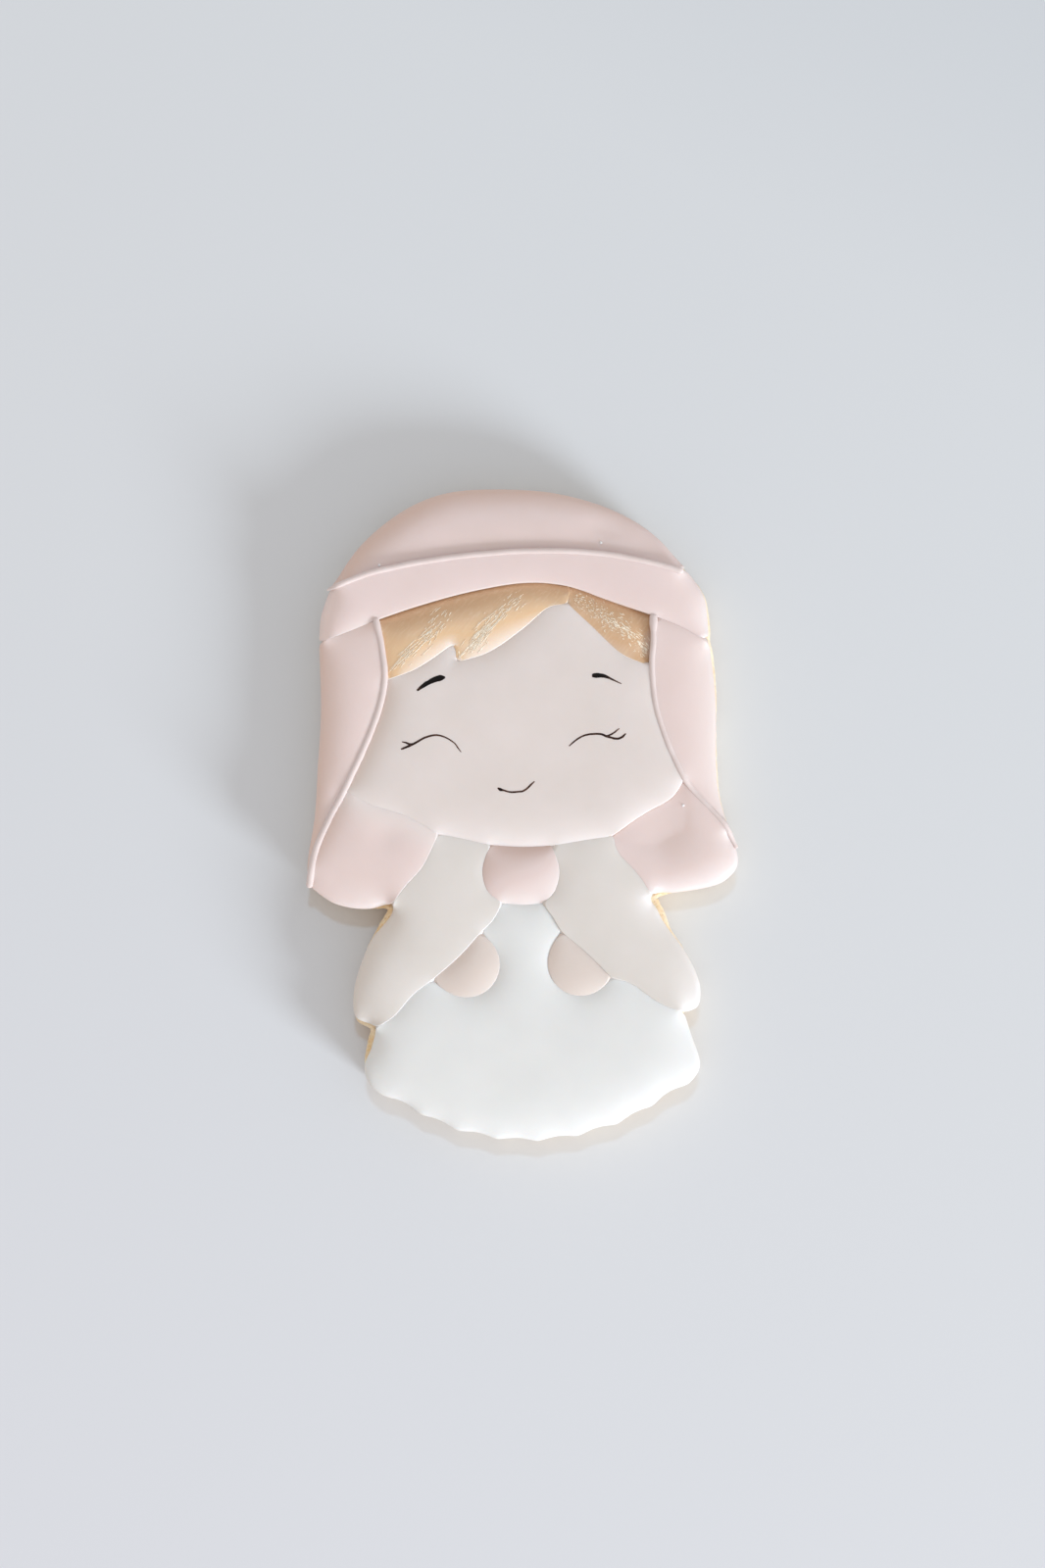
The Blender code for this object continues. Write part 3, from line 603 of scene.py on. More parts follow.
dress_icing = set_icing("dress_icing", pale=(231, 232, 232), deep=(228, 229, 229), warm=(236, 230, 222),
                        painted_light_side=(233, 233, 234), painted_shade_side=(229, 228, 226))
UNDER_DRESS_TOPS = {"face": 1.5, "veil_knot": 1.35, "hand_left": 1.6, "hand_right": 1.6, "sleeve_left": 1.65,
                    "sleeve_right": 1.65}
flooded("dress_icing", "dress", dress_icing, crest=2.4, reach=2.5, lapped=1.85,
        under=UNDER_DRESS_TOPS)

# The hands. Two small rounds of skin-coloured royal icing, flooded once the dress has crusted, so they lap onto it.
# The cuffs of the sleeves lap onto them in turn.

skin_icing = set_icing("hand_icing", pale=(225, 213, 206), deep=(220, 207, 200), warm=(214, 196, 186),
                       painted_light_side=(230, 220, 215), painted_shade_side=(222, 204, 194))
for side in ("left", "right"):
    flooded("hand_%s_icing" % side, "hand_" + side, skin_icing, crest=3.9, reach=3.6, lapped=1.75,
            waviness=0.03, lifts={"dress": 0.12})

# The sleeves. Two long drops of ivory royal icing from the chin to the elbows, flooded over the edges of the dress
# and the hands, and puffed along their middles.

UNDER_SLEEVE_TOPS = {"face": 1.7, "veil_tail_left": 2.0, "veil_tail_right": 1.7}
sleeve_icing = set_icing("sleeve_icing", pale=(225, 219, 215), deep=(221, 215, 210), warm=(226, 217, 210),
                         painted_light_side=(236, 233, 234), painted_shade_side=(224, 215, 207))
flooded("sleeve_left_icing", "sleeve_left", sleeve_icing, crest=2.35, reach=2.8, lapped=1.8,
        under=UNDER_SLEEVE_TOPS, lifts={"dress": 0.12, "hand_left": 0.2}, rim_reach=2.4)
flooded("sleeve_right_icing", "sleeve_right", sleeve_icing, crest=2.4, reach=2.8, lapped=1.8,
        under=UNDER_SLEEVE_TOPS, lifts={"dress": 0.4, "hand_right": 0.25}, rim_reach=2.8)

# The lower veil. Blush royal icing behind the shoulders, in two tails, and the round knot under the chin.
# The left tail was still wet when the face was flooded beside it, so their colours ran together at the seam.

BLUSH = ((230, 211, 208), (227, 208, 204), (228, 204, 196))
# Painted light and shade tints for the blush icing: one for slopes towards the window, one for slopes away.
BLUSH_PAINTED_LIGHT_SIDE = (232, 223, 223)
BLUSH_PAINTED_SHADE_SIDE = (228, 202, 191)
mingled_icing = set_icing("veil_icing_left", *BLUSH, BLUSH_PAINTED_LIGHT_SIDE, BLUSH_PAINTED_SHADE_SIDE, ran=(232, 222, 219))
flooded("veil_tail_left_icing", "veil_tail_left", mingled_icing, crest=2.4, reach=1.8, lapped=1.65,
        under={"face": 2.1, "veil_side_left": 1.35}, rim_reach=3.2, dents=((-21.2, -3.0, 3.0, 0.25),),
        ran_from=("face", 3.0))
veil_icing = set_icing("veil_icing", *BLUSH, BLUSH_PAINTED_LIGHT_SIDE, BLUSH_PAINTED_SHADE_SIDE)
flooded("veil_tail_right_icing", "veil_tail_right", veil_icing, crest=2.9, reach=7.0, lapped=1.75,
        under={"face": 1.25}, rim_reach=2.6, dents=((20.6, -1.5, 5.0, 0.8),))
# The knot has its own copy of the blush icing, with a paler painted highlight and a deeper painted shade.
knot_icing = set_icing("knot_icing", *BLUSH, painted_light_side=(236, 230, 230), painted_shade_side=(206, 177, 164))
flooded("veil_knot_icing", "veil_knot", knot_icing, crest=5.5, reach=4.6, lapped=1.35, waviness=0.03)

# The face. One broad panel of warm off-white royal icing, flooded over the edges of the sleeves, tails and knot.
# It lies level in the middle, with a long roll-off to the chin.

face_icing = set_icing("face_icing", pale=(227, 217, 214), deep=(223, 213, 209), warm=(224, 208, 200),
                       painted_light_side=(236, 229, 229), painted_shade_side=(222, 204, 193))
flooded("face_icing", "face", face_icing, crest=2.85, reach=2.2, lapped=2.1,
        under={"fringe_left": 2.3, "fringe_right": 2.3, "veil_side_left": 1.6, "veil_side_right": 2.4},
        lifts={"veil_tail_right": 0.75})

# The fringe. Two locks of honey-gold icing over the brow, the left one sweeping across to the parting.
# Both were brushed with pearl lustre when dry, so they carry fine strokes that run down and to the left.

STROKE_HEADING = math.radians(48)
STROKE_STRETCH = (7.0, 1.0, 1.0)


def brushed_icing(name, deep, pale):
    """Honey-gold icing with the fine strokes of a dry brush in its surface, with a painted pale sheen on slopes
    towards the front and painted shade on slopes away from it.
    """
    material, tree, shader = blank(name, Specular_IOR_Level=0.9, Subsurface_Weight=0.12,
                                   Subsurface_Radius=(1.0, 0.6, 0.35), Subsurface_Scale=0.0009)
    place = placed(tree)
    turned = wired(tree, "ShaderNodeMapping", {"Vector": place, "Rotation": (0, 0, STROKE_HEADING),
                                               "Scale": STROKE_STRETCH}, vector_type="TEXTURE").outputs["Vector"]
    strokes = cloudy(tree, turned, 3000.0, 3.0)
    clouds = cloudy(tree, place, 210.0, 3.0)
    gold = graded(tree, clouds, ((0.3, tint(*deep)), (0.7, tint(*pale))))
    # Painted light and shade: a pale sheen painted on slopes that face the front, and a darker brown painted on
    # slopes that face away.
    lean = carried(tree, "to_front")
    painted_sheen = blended(tree, ranged(tree, lean, 0.03, 0.42, 0.0, 0.95), gold, tint(237, 230, 228))
    colour = blended(tree, ranged(tree, lean, -0.05, -0.45, 0.0, 0.9), painted_sheen, tint(206, 167, 128))
    streaked = blended(tree, ranged(tree, strokes, 0.5, 0.75, 0.0, 0.25), colour, tint(244, 220, 190))
    thin = carried(tree, "thinness")
    edged = blended(tree, ranged(tree, thin, 0.0, 1.0, 0.0, 0.6), streaked, tint(188, 142, 96))
    roughness = ranged(tree, strokes, 0.35, 0.7, 0.54, 0.4)
    finished(tree, shader, edged, roughness, ((strokes, 0.016), (cloudy(tree, place, 2600.0, 4.0), 0.012)))
    return material


FRINGE_LIFTS = {"face": 0.05, "fringe_left": 0.0}
flooded("fringe_left_icing", "fringe_left",
        brushed_icing("hair_icing_left", deep=(230, 193, 151), pale=(236, 200, 159)), crest=4.3, reach=3.6,
        lapped=1.9, waviness=0.05, under={"veil_band": 0.8, "fringe_right": 1.9}, lifts=FRINGE_LIFTS)
flooded("fringe_right_icing", "fringe_right",
        brushed_icing("hair_icing_right", deep=(206, 166, 127), pale=(213, 174, 135)), crest=4.6, reach=3.6,
        lapped=1.9, waviness=0.05, under={"veil_band": 0.8, "veil_side_right": 1.1}, lifts=FRINGE_LIFTS)

# The upper veil. Blush royal icing again, flooded over the edges of the face and the fringe: the two falling sides,
# the crown, and last the band across the brow. The right side, the crown and the band each have their own copy of the
# icing with its own painted highlight and painted shade; the crown's is a shade deeper and the band's a shade paler.

flooded("veil_side_left_icing", "veil_side_left", veil_icing, crest=2.75, reach=2.7, lapped=1.95,
        lifts={"face": 0.45, "fringe_left": 0.6})
# The right side has its own copy of the blush icing, with a duller painted highlight on its slopes towards the
# window.
sun_side_painted_icing = set_icing("veil_icing_right", pale=(229, 210, 207), deep=(226, 207, 203), warm=(224, 202, 195),
                        painted_light_side=(224, 212, 209), painted_shade_side=(228, 202, 191))
flooded("veil_side_right_icing", "veil_side_right", sun_side_painted_icing, crest=2.6, reach=2.0, lapped=1.95,
        lifts={"face": 0.15, "fringe_right": 1.5}, rim_reach=2.5)
crown_icing = set_icing("crown_icing", pale=(226, 207, 204), deep=(223, 204, 200), warm=(226, 202, 194),
                        painted_light_side=(232, 221, 220), painted_shade_side=(222, 195, 183))
flooded("veil_crown_icing", "veil_crown", crown_icing, crest=2.5, reach=2.3, lapped=1.85,
        dents=((12.8, 44.0, 3.5, 0.35),))
band_icing = set_icing("band_icing", pale=(232, 213, 211), deep=(229, 210, 207), warm=(232, 210, 203),
                       painted_light_side=(227, 216, 214), painted_shade_side=(238, 218, 212))
flooded("veil_band_icing", "veil_band", band_icing, crest=2.7, reach=1.6, lapped=1.9,
        lifts={"veil_crown": 0.75, "fringe_left": 1.55, "fringe_right": 1.55})

# The piped threads. Stiff, paler icing from a fine round nozzle, laid along the creases of the veil while the
# baker's hand shook a little, so each bead swells and thins and ends in a small blob or a drawn-out tip.

THREAD_RADIUS = 0.46
THREAD_STEP = 0.28
THREAD_SIDES = 12
THREAD_TOP = 0.84
THREAD_FLATTENED = 0.8
THREAD_SAGGED = 1.1
THREAD_WOBBLE = 0.07
THREAD_DRIFT = 0.05
THREAD_BED = ((0, 0), (0.5, 0), (-0.5, 0), (0, 0.5), (0, -0.5))
END_RINGS = ((0.45, 0.86), (0.8, 0.5))
END_TIP = 0.92
HIGHEST = 9.6
BROW_THREAD = (
    (-30.0, 34.6), (-23.2, 37.2), (-12.6, 39.28), (-2.0, 40.37), (7.0, 40.45), (14.5, 39.77), (21.8, 38.2),
    (24.1, 37.5),
)
LEFT_THREAD = (
    (-22.55, 29.9), (-21.7, 25.9), (-21.25, 20.7), (-22.45, 15.3), (-27.4, 3.9), (-30.0, -1.1), (-32.0, -5.9),
    (-32.82, -10.7),
)
RIGHT_THREAD = (
    (20.0, 30.4), (20.0, 27.1), (19.8, 22.8), (20.6, 15.8), (24.8, 5.6), (28.5, 1.3), (30.9, -1.4), (32.75, -4.9),
)

skin = BVHTree.FromPolygons(skin_points, skin_faces)


def surface(x, y):
    """The height of the icing at a place, in millimetres."""
    spot = skin.ray_cast(Vector((x, y, 30.0)), Vector((0, 0, -1)))[0]
    return spot.z if spot else SLAB_TOP


def piped(name, node, knots, swells, lift, seed):
    """A piped bead along the knots, with its middle so much above the icing beside it. Swells are pairs of
    travel in millimetres and times the usual radius."""
    path = drawn(knots, THREAD_STEP, closed=False)
    travel = np.arange(len(path)) * THREAD_STEP
    whole = travel[-1]
    places = [at if at >= 0 else whole + at for at, _ in swells]
    sizes = np.interp(travel, places, [size for _, size in swells])
    around = [max(surface(x + dx, y + dy) for dx, dy in THREAD_BED) for x, y in path]
    for _ in range(10):
        around = np.convolve(np.pad(around, 1, mode="edge"), (0.25, 0.5, 0.25), mode="valid")
    points, faces = [], []
    for k, (x, y) in enumerate(path):
        before, after = path[max(k - 1, 0)], path[min(k + 1, len(path) - 1)]
        along = Vector((after[0] - before[0], after[1] - before[1], 0)).normalized()
        across = Vector((-along.y, along.x, 0))
        radius = THREAD_RADIUS * sizes[k] * (1 + THREAD_WOBBLE * rolling(travel[k], 0, 1.6, seed))
        drift = THREAD_DRIFT * rolling(travel[k], 5, 3.1, seed + 3)
        middle = Vector((x, y, 0)) + across * drift
        z = min(around[k] + lift, HIGHEST - radius * THREAD_TOP)
        for side in range(THREAD_SIDES):
            angle = 2 * math.pi * side / THREAD_SIDES
            squash = THREAD_FLATTENED if math.sin(angle) > 0 else THREAD_SAGGED
            points.append(tuple(middle + across * radius * math.cos(angle)
                                + Vector((0, 0, z + radius * squash * math.sin(angle)))))
    last = len(path) - 1
    for k in range(last):
        for side in range(THREAD_SIDES):
            here, there = k * THREAD_SIDES, (k + 1) * THREAD_SIDES
            ahead = (side + 1) % THREAD_SIDES
            faces.append((here + side, here + ahead, there + ahead, there + side))
    for k, side in ((0, -1), (last, 1)):
        ring = points[k * THREAD_SIDES:(k + 1) * THREAD_SIDES]
        centre = np.mean(np.array(ring), axis=0)
        near = path[1] if k == 0 else path[-2]
        out = np.array([path[k][0] - near[0], path[k][1] - near[1], 0.0])
        out /= np.linalg.norm(out)
        reach = THREAD_RADIUS * sizes[k]
        base = k * THREAD_SIDES
        for share, shrink in END_RINGS:
            start = len(points)
            for corner in ring:
                points.append(tuple(centre + (np.array(corner) - centre) * shrink + out * reach * share))
            for j in range(THREAD_SIDES):
                quad = (base + j, base + (j + 1) % THREAD_SIDES, start + (j + 1) % THREAD_SIDES, start + j)
                faces.append(quad[::side])
            base = start
        points.append(tuple(centre + out * reach * END_TIP))
        for j in range(THREAD_SIDES):
            faces.append((base + j, base + (j + 1) % THREAD_SIDES, len(points) - 1)[::side])
    made(name, points, faces, thread_icing, node)


def stiff_icing(name):
    """Stiff piping icing: the palest pink, matt, with the fine ripple that a nozzle leaves."""
    material, tree, shader = blank(name, Specular_IOR_Level=0.3, Subsurface_Weight=0.15,
                                   Subsurface_Radius=(1.0, 0.75, 0.65), Subsurface_Scale=0.0006)
    place = placed(tree)
    ripple = cloudy(tree, place, 1500.0, 3.0)
    clouds = cloudy(tree, place, 260.0, 3.0)
    colour = graded(tree, clouds, ((0.3, tint(219, 204, 201)), (0.7, tint(227, 213, 211))))
    finished(tree, shader, colour, ranged(tree, ripple, 0.3, 0.7, 0.55, 0.68), ((ripple, 0.02),))
    return material


thread_icing = stiff_icing("thread_icing")
piped("piped_thread_brow", "thread_brow", BROW_THREAD, lift=0.0, seed=2.0,
      swells=((0, 0.35), (1.4, 0.9), (8, 1.0), (-1.2, 0.95), (-0.3, 1.15)))
piped("piped_thread_left", "thread_left", LEFT_THREAD, lift=-0.15, seed=5.0,
      swells=((0, 1.1), (0.9, 1.2), (2.4, 1.08), (20, 1.12), (-2.6, 1.15), (-0.9, 1.3), (-0.2, 1.2)))
piped("piped_thread_right", "thread_right", RIGHT_THREAD, lift=-0.2, seed=8.0,
      swells=((0, 1.35), (0.9, 1.45), (2.2, 1.05), (22, 1.0), (-3, 0.9), (-0.2, 0.6)))

# The stray drops. Three specks of stiff white icing that fell from the nozzle and dried on the veil, each a low,
# uneven dome no wider than the thread.

STRAY_DROPS = ((11.92, 41.81, 0.25), (-22.07, 38.35, 0.25), (24.56, 1.51, 0.24))
DROP_SIDES = 9
DROP_RINGS = ((1.0, -0.03), (0.85, 0.08), (0.5, 0.15))
DROP_TOP = 0.17
DROP_UNEVENNESS = 0.3

drop_points, drop_faces = [], []
for x, y, radius in STRAY_DROPS:
    start = len(drop_points)
    ground = surface(x, y)
    for share, z in DROP_RINGS:
        for side in range(DROP_SIDES):
            angle = 2 * math.pi * side / DROP_SIDES
            uneven = DROP_UNEVENNESS * rolling(x * 3 + math.cos(angle), y * 3 + math.sin(angle), 0.9, 1.0)
            wide = radius * share * (1 + uneven)
            drop_points.append((x + wide * math.cos(angle), y + wide * math.sin(angle), ground + z))
    drop_points.append((x, y, ground + DROP_TOP))
    for ring in range(len(DROP_RINGS) - 1):
        for side in range(DROP_SIDES):
            here, ahead = start + ring * DROP_SIDES + side, start + ring * DROP_SIDES + (side + 1) % DROP_SIDES
            drop_faces.append((here, ahead, ahead + DROP_SIDES, here + DROP_SIDES))
    top = start + (len(DROP_RINGS) - 1) * DROP_SIDES
    for side in range(DROP_SIDES):
        drop_faces.append((top + side, top + (side + 1) % DROP_SIDES, len(drop_points) - 1))
    drop_faces.append(tuple(start + side for side in range(DROP_SIDES))[::-1])
drop_icing = set_icing("drop_icing", pale=(248, 246, 246), deep=(244, 242, 242), warm=(240, 236, 234),
                       painted_light_side=(248, 247, 247), painted_shade_side=(238, 233, 231))
made("stray_drops", drop_points, drop_faces, drop_icing)

# The pen work. Brows, closed eyes with their lashes and a small smile, drawn on the dry face with an edible-ink
# pen. Each stroke lies on the icing as a film that is darker where the pen pressed and paler where it lifted.

INK_STEP = 0.14
INK_LIFT = 0.02
INK_CROWN = 1.6
INK_FALL = 0.9
NIB_SPREAD = 1.2
NIB_RAGGEDNESS = 0.14
LIGHTEST_STROKE = 0.1
PRESSED_BY = 0.45
PALE_EDGE = 0.15
INK_ACROSS = (-1.0, -0.55, 0.0, 0.55, 1.0)
# Each stroke's places, and the width of its line there.
PEN_STROKES = (
    ((-16.25, 19.1, 0.24), (-15.3, 19.85, 0.52), (-14.35, 20.42, 0.6), (-13.4, 20.85, 0.72),
     (-12.6, 21.05, 0.74), (-11.95, 21.15, 0.26)),
    ((-9.5, 9.68, 0.1), (-10.0, 10.35, 0.16), (-10.5, 11.03, 0.17), (-11.95, 11.95, 0.2), (-13.3, 12.28, 0.24),
     (-14.95, 11.93, 0.26), (-16.75, 10.95, 0.28), (-17.75, 10.5, 0.3), (-18.7, 10.12, 0.2)),
    ((-16.75, 10.95, 0.26), (-17.25, 10.87, 0.28), (-17.9, 11.1, 0.24), (-18.55, 11.27, 0.12)),
    ((10.55, 21.4, 0.4), (11.1, 21.42, 0.62), (11.9, 21.42, 0.54), (12.6, 21.28, 0.42), (13.3, 20.98, 0.28),
     (14.1, 20.6, 0.2), (15.05, 20.15, 0.1)),
    ((7.03, 10.6, 0.14), (7.75, 11.25, 0.2), (8.55, 11.83, 0.22), (9.6, 12.3, 0.24), (11.1, 12.47, 0.26),
     (12.05, 12.4, 0.28), (12.7, 12.12, 0.3), (13.3, 11.95, 0.28), (13.95, 11.77, 0.28), (14.7, 11.78, 0.28),
     (15.3, 12.1, 0.28), (15.72, 12.55, 0.16)),
    ((12.7, 12.12, 0.22), (13.3, 12.32, 0.22), (14.0, 12.72, 0.22), (14.45, 13.1, 0.16), (14.75, 13.3, 0.1)),
    ((-3.9, 4.2, 0.16), (-3.5, 3.95, 0.4), (-3.05, 3.85, 0.26), (-2.2, 3.6, 0.22), (-1.5, 3.55, 0.24),
     (-0.8, 3.6, 0.24), (0.0, 3.72, 0.24), (0.7, 4.2, 0.24), (1.2, 4.7, 0.24), (1.75, 5.2, 0.14)),
)


def ink(name):
    """Edible ink: nearly black where it pooled, dark brown where the pen moved quickly."""
    material, tree, shader = blank(name, Specular_IOR_Level=0.12)
    place = placed(tree)
    load = carried(tree, "ink_load")
    dry = cloudy(tree, place, 1600.0, 4.0)
    mixed = wired(tree, "ShaderNodeMath", {0: load, 1: ranged(tree, dry, 0.3, 0.7, -0.25, 0.25)}, operation="ADD")
    colour = graded(tree, mixed.outputs[0], (
        (0.0, tint(98, 72, 62)), (0.35, tint(56, 38, 33)), (0.7, tint(28, 19, 17)), (1.0, tint(14, 10, 9))))
    finished(tree, shader, colour, ranged(tree, dry, 0.3, 0.7, 0.42, 0.6), ((dry, 0.006),))
    return material


ink_points, ink_faces, ink_loads = [], [], []
for number, stroke in enumerate(PEN_STROKES):
    path = drawn(stroke, INK_STEP, closed=False)
    start = len(ink_points)
    for k, (x, y, width) in enumerate(path):
        before, after = path[max(k - 1, 0)], path[min(k + 1, len(path) - 1)]
        along = np.array([after[0] - before[0], after[1] - before[1]])
        along /= np.linalg.norm(along)
        for place in INK_ACROSS:
            ragged = 1 + NIB_RAGGEDNESS * rolling(k * INK_STEP + 30 * place, number * 7, 0.5, 4.0)
            reach = NIB_SPREAD * width / 2 * place * ragged
            px, py = x - along[1] * reach, y + along[0] * reach
            ink_points.append((px, py, surface(px, py) + INK_LIFT * (INK_CROWN - INK_FALL * abs(place))))
            ink_loads.append(min(1.0, max(0.0, (width - LIGHTEST_STROKE) / PRESSED_BY) - PALE_EDGE * abs(place)))
    rows = len(path)
    wide = len(INK_ACROSS)
    for k in range(rows - 1):
        for j in range(wide - 1):
            here = start + k * wide + j
            ink_faces.append((here, here + wide, here + wide + 1, here + 1)[::-1])
pen_work = made("pen_work", ink_points, ink_faces, ink("edible_ink"))
marked(pen_work, "ink_load", ink_loads)

# The lustre. Pearl dust in a little spirit, stroked on the dry hair with a small brush: it dries as thin bright
# scratches and flecks that lie in loose bundles, most of them running up to the right.

LUSTRE_SEED = 11
LUSTRE_STEP = 0.12
LUSTRE_LIFT = 0.065
LUSTRE_CLEARANCE = 0.2
SHORTEST_SHARE = 0.15
NARROWEST = 0.075
WIDENS_BY = 0.1
BEND_SPREAD = 0.08
SCRATCH_LEAST = 0.45
SCRATCH_VARIES = 0.75
BUNDLE_STEP = 0.1
# Each bundle's middle line, its half width, the scratches in it, the longest, and how far they turn from the line.
LUSTRE_BUNDLES = (
    (((-15.0, 26.6), (-13.3, 29.0), (-11.4, 31.2)), 1.4, 52, 1.4, 0.14),
    (((-20.6, 21.3), (-18.4, 23.6), (-15.9, 26.0), (-13.6, 28.2)), 1.1, 44, 3.6, 0.05),
    (((-9.7, 23.9), (-8.4, 25.2), (-6.6, 27.4), (-4.2, 29.8)), 1.2, 48, 4.2, 0.05),
    (((-8.4, 25.4), (-5.4, 29.0), (-3.6, 31.0), (-0.4, 33.8)), 1.3, 84, 1.6, 0.12),
    (((7.9, 33.4), (10.2, 32.4), (12.0, 31.2), (14.4, 29.2)), 1.7, 200, 0.55, 0.5),
    (((12.6, 30.6), (15.8, 28.2), (17.6, 26.8), (19.2, 25.2)), 1.5, 140, 1.1, 0.25),
    (((-9.4, 23.5), (-9.8, 24.6), (-10.2, 25.2)), 0.3, 10, 0.6, 0.3),
)


def pearl(name):
    """Dried pearl lustre: the palest gold, glossy where the dust packed and duller where it is thin."""
    material, tree, shader = blank(name, Specular_IOR_Level=0.6)
    place = placed(tree)
    dust = cloudy(tree, place, 3000.0, 3.0)
    colour = graded(tree, dust, ((0.3, tint(252, 238, 216)), (0.7, tint(255, 247, 232))))
    finished(tree, shader, colour, ranged(tree, dust, 0.3, 0.7, 0.34, 0.48), ((dust, 0.01),))
    return material


draw = random.Random(LUSTRE_SEED)
lustre_points, lustre_faces = [], []
hair_lines = [panel_lines["fringe_left"], panel_lines["fringe_right"]]
for knots, spread, count, longest, stray in LUSTRE_BUNDLES:
    path = drawn(knots, BUNDLE_STEP, closed=False)
    for _ in range(count):
        k = draw.randrange(1, len(path) - 1)
        along = path[k + 1] - path[k - 1]
        heading = math.atan2(along[1], along[0]) + draw.gauss(0, stray)
        side = draw.gauss(0, spread * 0.5)
        across = np.array([-along[1], along[0]]) / np.linalg.norm(along)
        x, y = path[k] + across * side
        length = longest * (SHORTEST_SHARE + (1 - SHORTEST_SHARE) * draw.random() ** 1.5)
        width = NARROWEST + WIDENS_BY * draw.random() ** 2
        bend = draw.gauss(0, BEND_SPREAD)
        steps = max(3, int(length / LUSTRE_STEP))
        row = []
        for j in range(steps + 1):
            t = j / steps - 0.5
            px = x + math.cos(heading + bend * t) * t * length
            py = y + math.sin(heading + bend * t) * t * length
            wide = width * math.sqrt(max(0.03, 1 - 4 * t * t)) * (SCRATCH_LEAST + SCRATCH_VARIES * draw.random())
            row.append((px, py, wide))
        spots = np.array(row)[:, :2]
        if not any(within(spots, line).all() and spans(spots, line).min() > LUSTRE_CLEARANCE for line in hair_lines):
            continue
        start = len(lustre_points)
        for px, py, wide in row:
            for place in (-1, 0, 1):
                qx = px - math.sin(heading) * wide * place / 2
                qy = py + math.cos(heading) * wide * place / 2
                lift = LUSTRE_LIFT if place == 0 else 0.0
                lustre_points.append((qx, qy, surface(qx, qy) + lift))
        for j in range(steps):
            for place in (0, 1):
                here = start + j * 3 + place
                lustre_faces.append((here, here + 3, here + 4, here + 1)[::-1])
made("pearl_lustre", lustre_points, lustre_faces, pearl("pearl_lustre"))

# The table. A plain, smooth board, painted pale blue-grey, which the biscuit lies flat on. Its colour carries a
# painted fall-off of the light: painted shade towards the picture's upper right and painted light towards the lower
# left.

TABLE_HALF = 3.0
SHADE_FALLOFF_TOWARDS = (0.5, 0.87, 0.0)


def painted_board(name):
    """A smooth matt board in the palest blue-grey, with painted shade towards the upper right and painted light
    towards the lower left.
    """
    material, tree, shader = blank(name, Specular_IOR_Level=0.2)
    place = placed(tree)
    clouds = cloudy(tree, place, 6.0, 2.0)
    # Painted light and shade: the board's colour darkens towards the upper right and lightens towards the lower left.
    across = wired(tree, "ShaderNodeVectorMath", {0: place, 1: SHADE_FALLOFF_TOWARDS}, operation="DOT_PRODUCT")
    light_falloff_slant = ranged(tree, across.outputs["Value"], -0.15, 0.15)
    painted_light_falloff = graded(tree, light_falloff_slant, ((0.0, tint(219, 221, 228)), (0.5, tint(216, 219, 224)), (0.83, tint(214, 218, 223)),
                                 (1.0, tint(206, 211, 217))))
    colour = blended(tree, ranged(tree, clouds, 0.3, 0.7, 0.0, 0.25), painted_light_falloff, tint(217, 220, 225))
    roughness = ranged(tree, clouds, 0.3, 0.7, 0.6, 0.7)
    finished(tree, shader, colour, roughness, ((cloudy(tree, place, 900.0, 3.0), 0.004),))
    return material


table_mesh = bpy.data.meshes.new("table")
corner = TABLE_HALF
table_mesh.from_pydata([(-corner, -corner, 0), (corner, -corner, 0), (corner, corner, 0), (-corner, corner, 0)], [],
                       [(0, 1, 2, 3)])
table_mesh.materials.append(painted_board("table_board"))
table = bpy.data.objects.new("table", table_mesh)
bpy.context.scene.collection.objects.link(table)

# The light. A soft window low at the picture's lower right, a patch of blue daylight from high above the picture's
# top, and the warm light that the room gives back from all round.

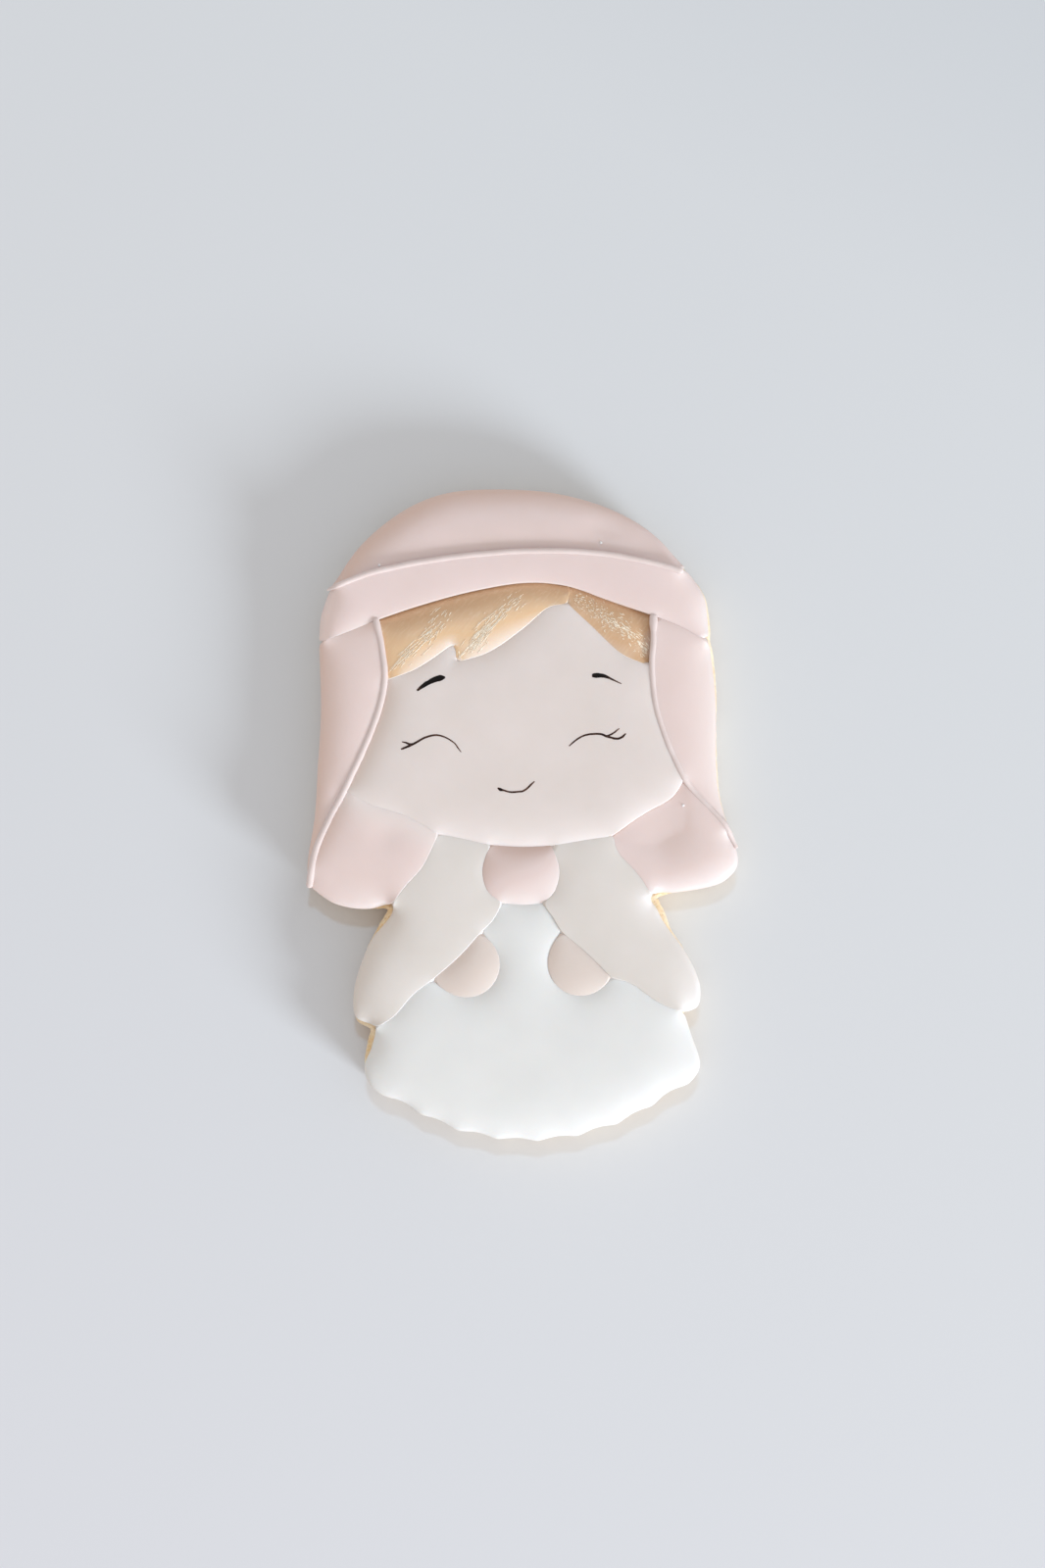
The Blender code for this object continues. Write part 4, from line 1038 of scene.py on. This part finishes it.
LAMP_DISTANCE = 2.0
SKY = 0.69
SKY_LEAN = 0.12
SKY_COLOUR = (1.0, 0.912, 0.836, 1.0)


def lamp(name, heading, height, size, power, colour):
    """A round lamp that looks at the biscuit from a heading and a height, both in degrees."""
    data = bpy.data.lights.new(name, "AREA")
    data.shape = "DISK"
    data.size = size
    data.energy = power
    data.color = colour
    piece = bpy.data.objects.new(name, data)
    heading, height = math.radians(heading), math.radians(height)
    piece.location = Vector((math.cos(height) * math.cos(heading), math.cos(height) * math.sin(heading),
                             math.sin(height))) * LAMP_DISTANCE
    piece.rotation_euler = (-piece.location).to_track_quat("-Z", "Y").to_euler()
    bpy.context.scene.collection.objects.link(piece)


lamp("window", WINDOW_HEADING, height=18.5, size=0.64, power=36.5, colour=(0.855, 0.935, 1.0))
lamp("daylight", heading=90, height=66, size=0.15, power=5.6, colour=(0.46, 0.75, 1.0))
world = bpy.data.worlds.new("sky")
world.use_nodes = True
sky = world.node_tree.nodes["Background"]
sky.inputs["Color"].default_value = SKY_COLOUR
aim = wired(world.node_tree, "ShaderNodeTexCoord", {}).outputs["Generated"]
toward_window = {0: aim, 1: (*bearing(WINDOW_HEADING), 0.0)}
facing = wired(world.node_tree, "ShaderNodeVectorMath", toward_window, operation="DOT_PRODUCT")
strength = ranged(world.node_tree, facing.outputs["Value"], -1.0, 1.0, SKY * (1 - SKY_LEAN), SKY * (1 + SKY_LEAN))
world.node_tree.links.new(strength, sky.inputs["Strength"])
bpy.context.scene.world = world

# The camera. Straight above the biscuit, as in the photograph, with a long lens, and aimed a little above the
# biscuit's middle.

CAMERA_PLACE = (-0.0001, 0.0048, 0.5763)
LENS = 85
SENSOR_WIDTH = 36
NEAREST_SEEN = 0.01
camera_data = bpy.data.cameras.new("camera")
camera_data.lens = LENS
camera_data.sensor_width = SENSOR_WIDTH
camera_data.clip_start = NEAREST_SEEN
camera = bpy.data.objects.new("camera", camera_data)
camera.location = CAMERA_PLACE
bpy.context.scene.collection.objects.link(camera)
bpy.context.scene.camera = camera
bpy.context.scene.view_settings.view_transform = "Standard"
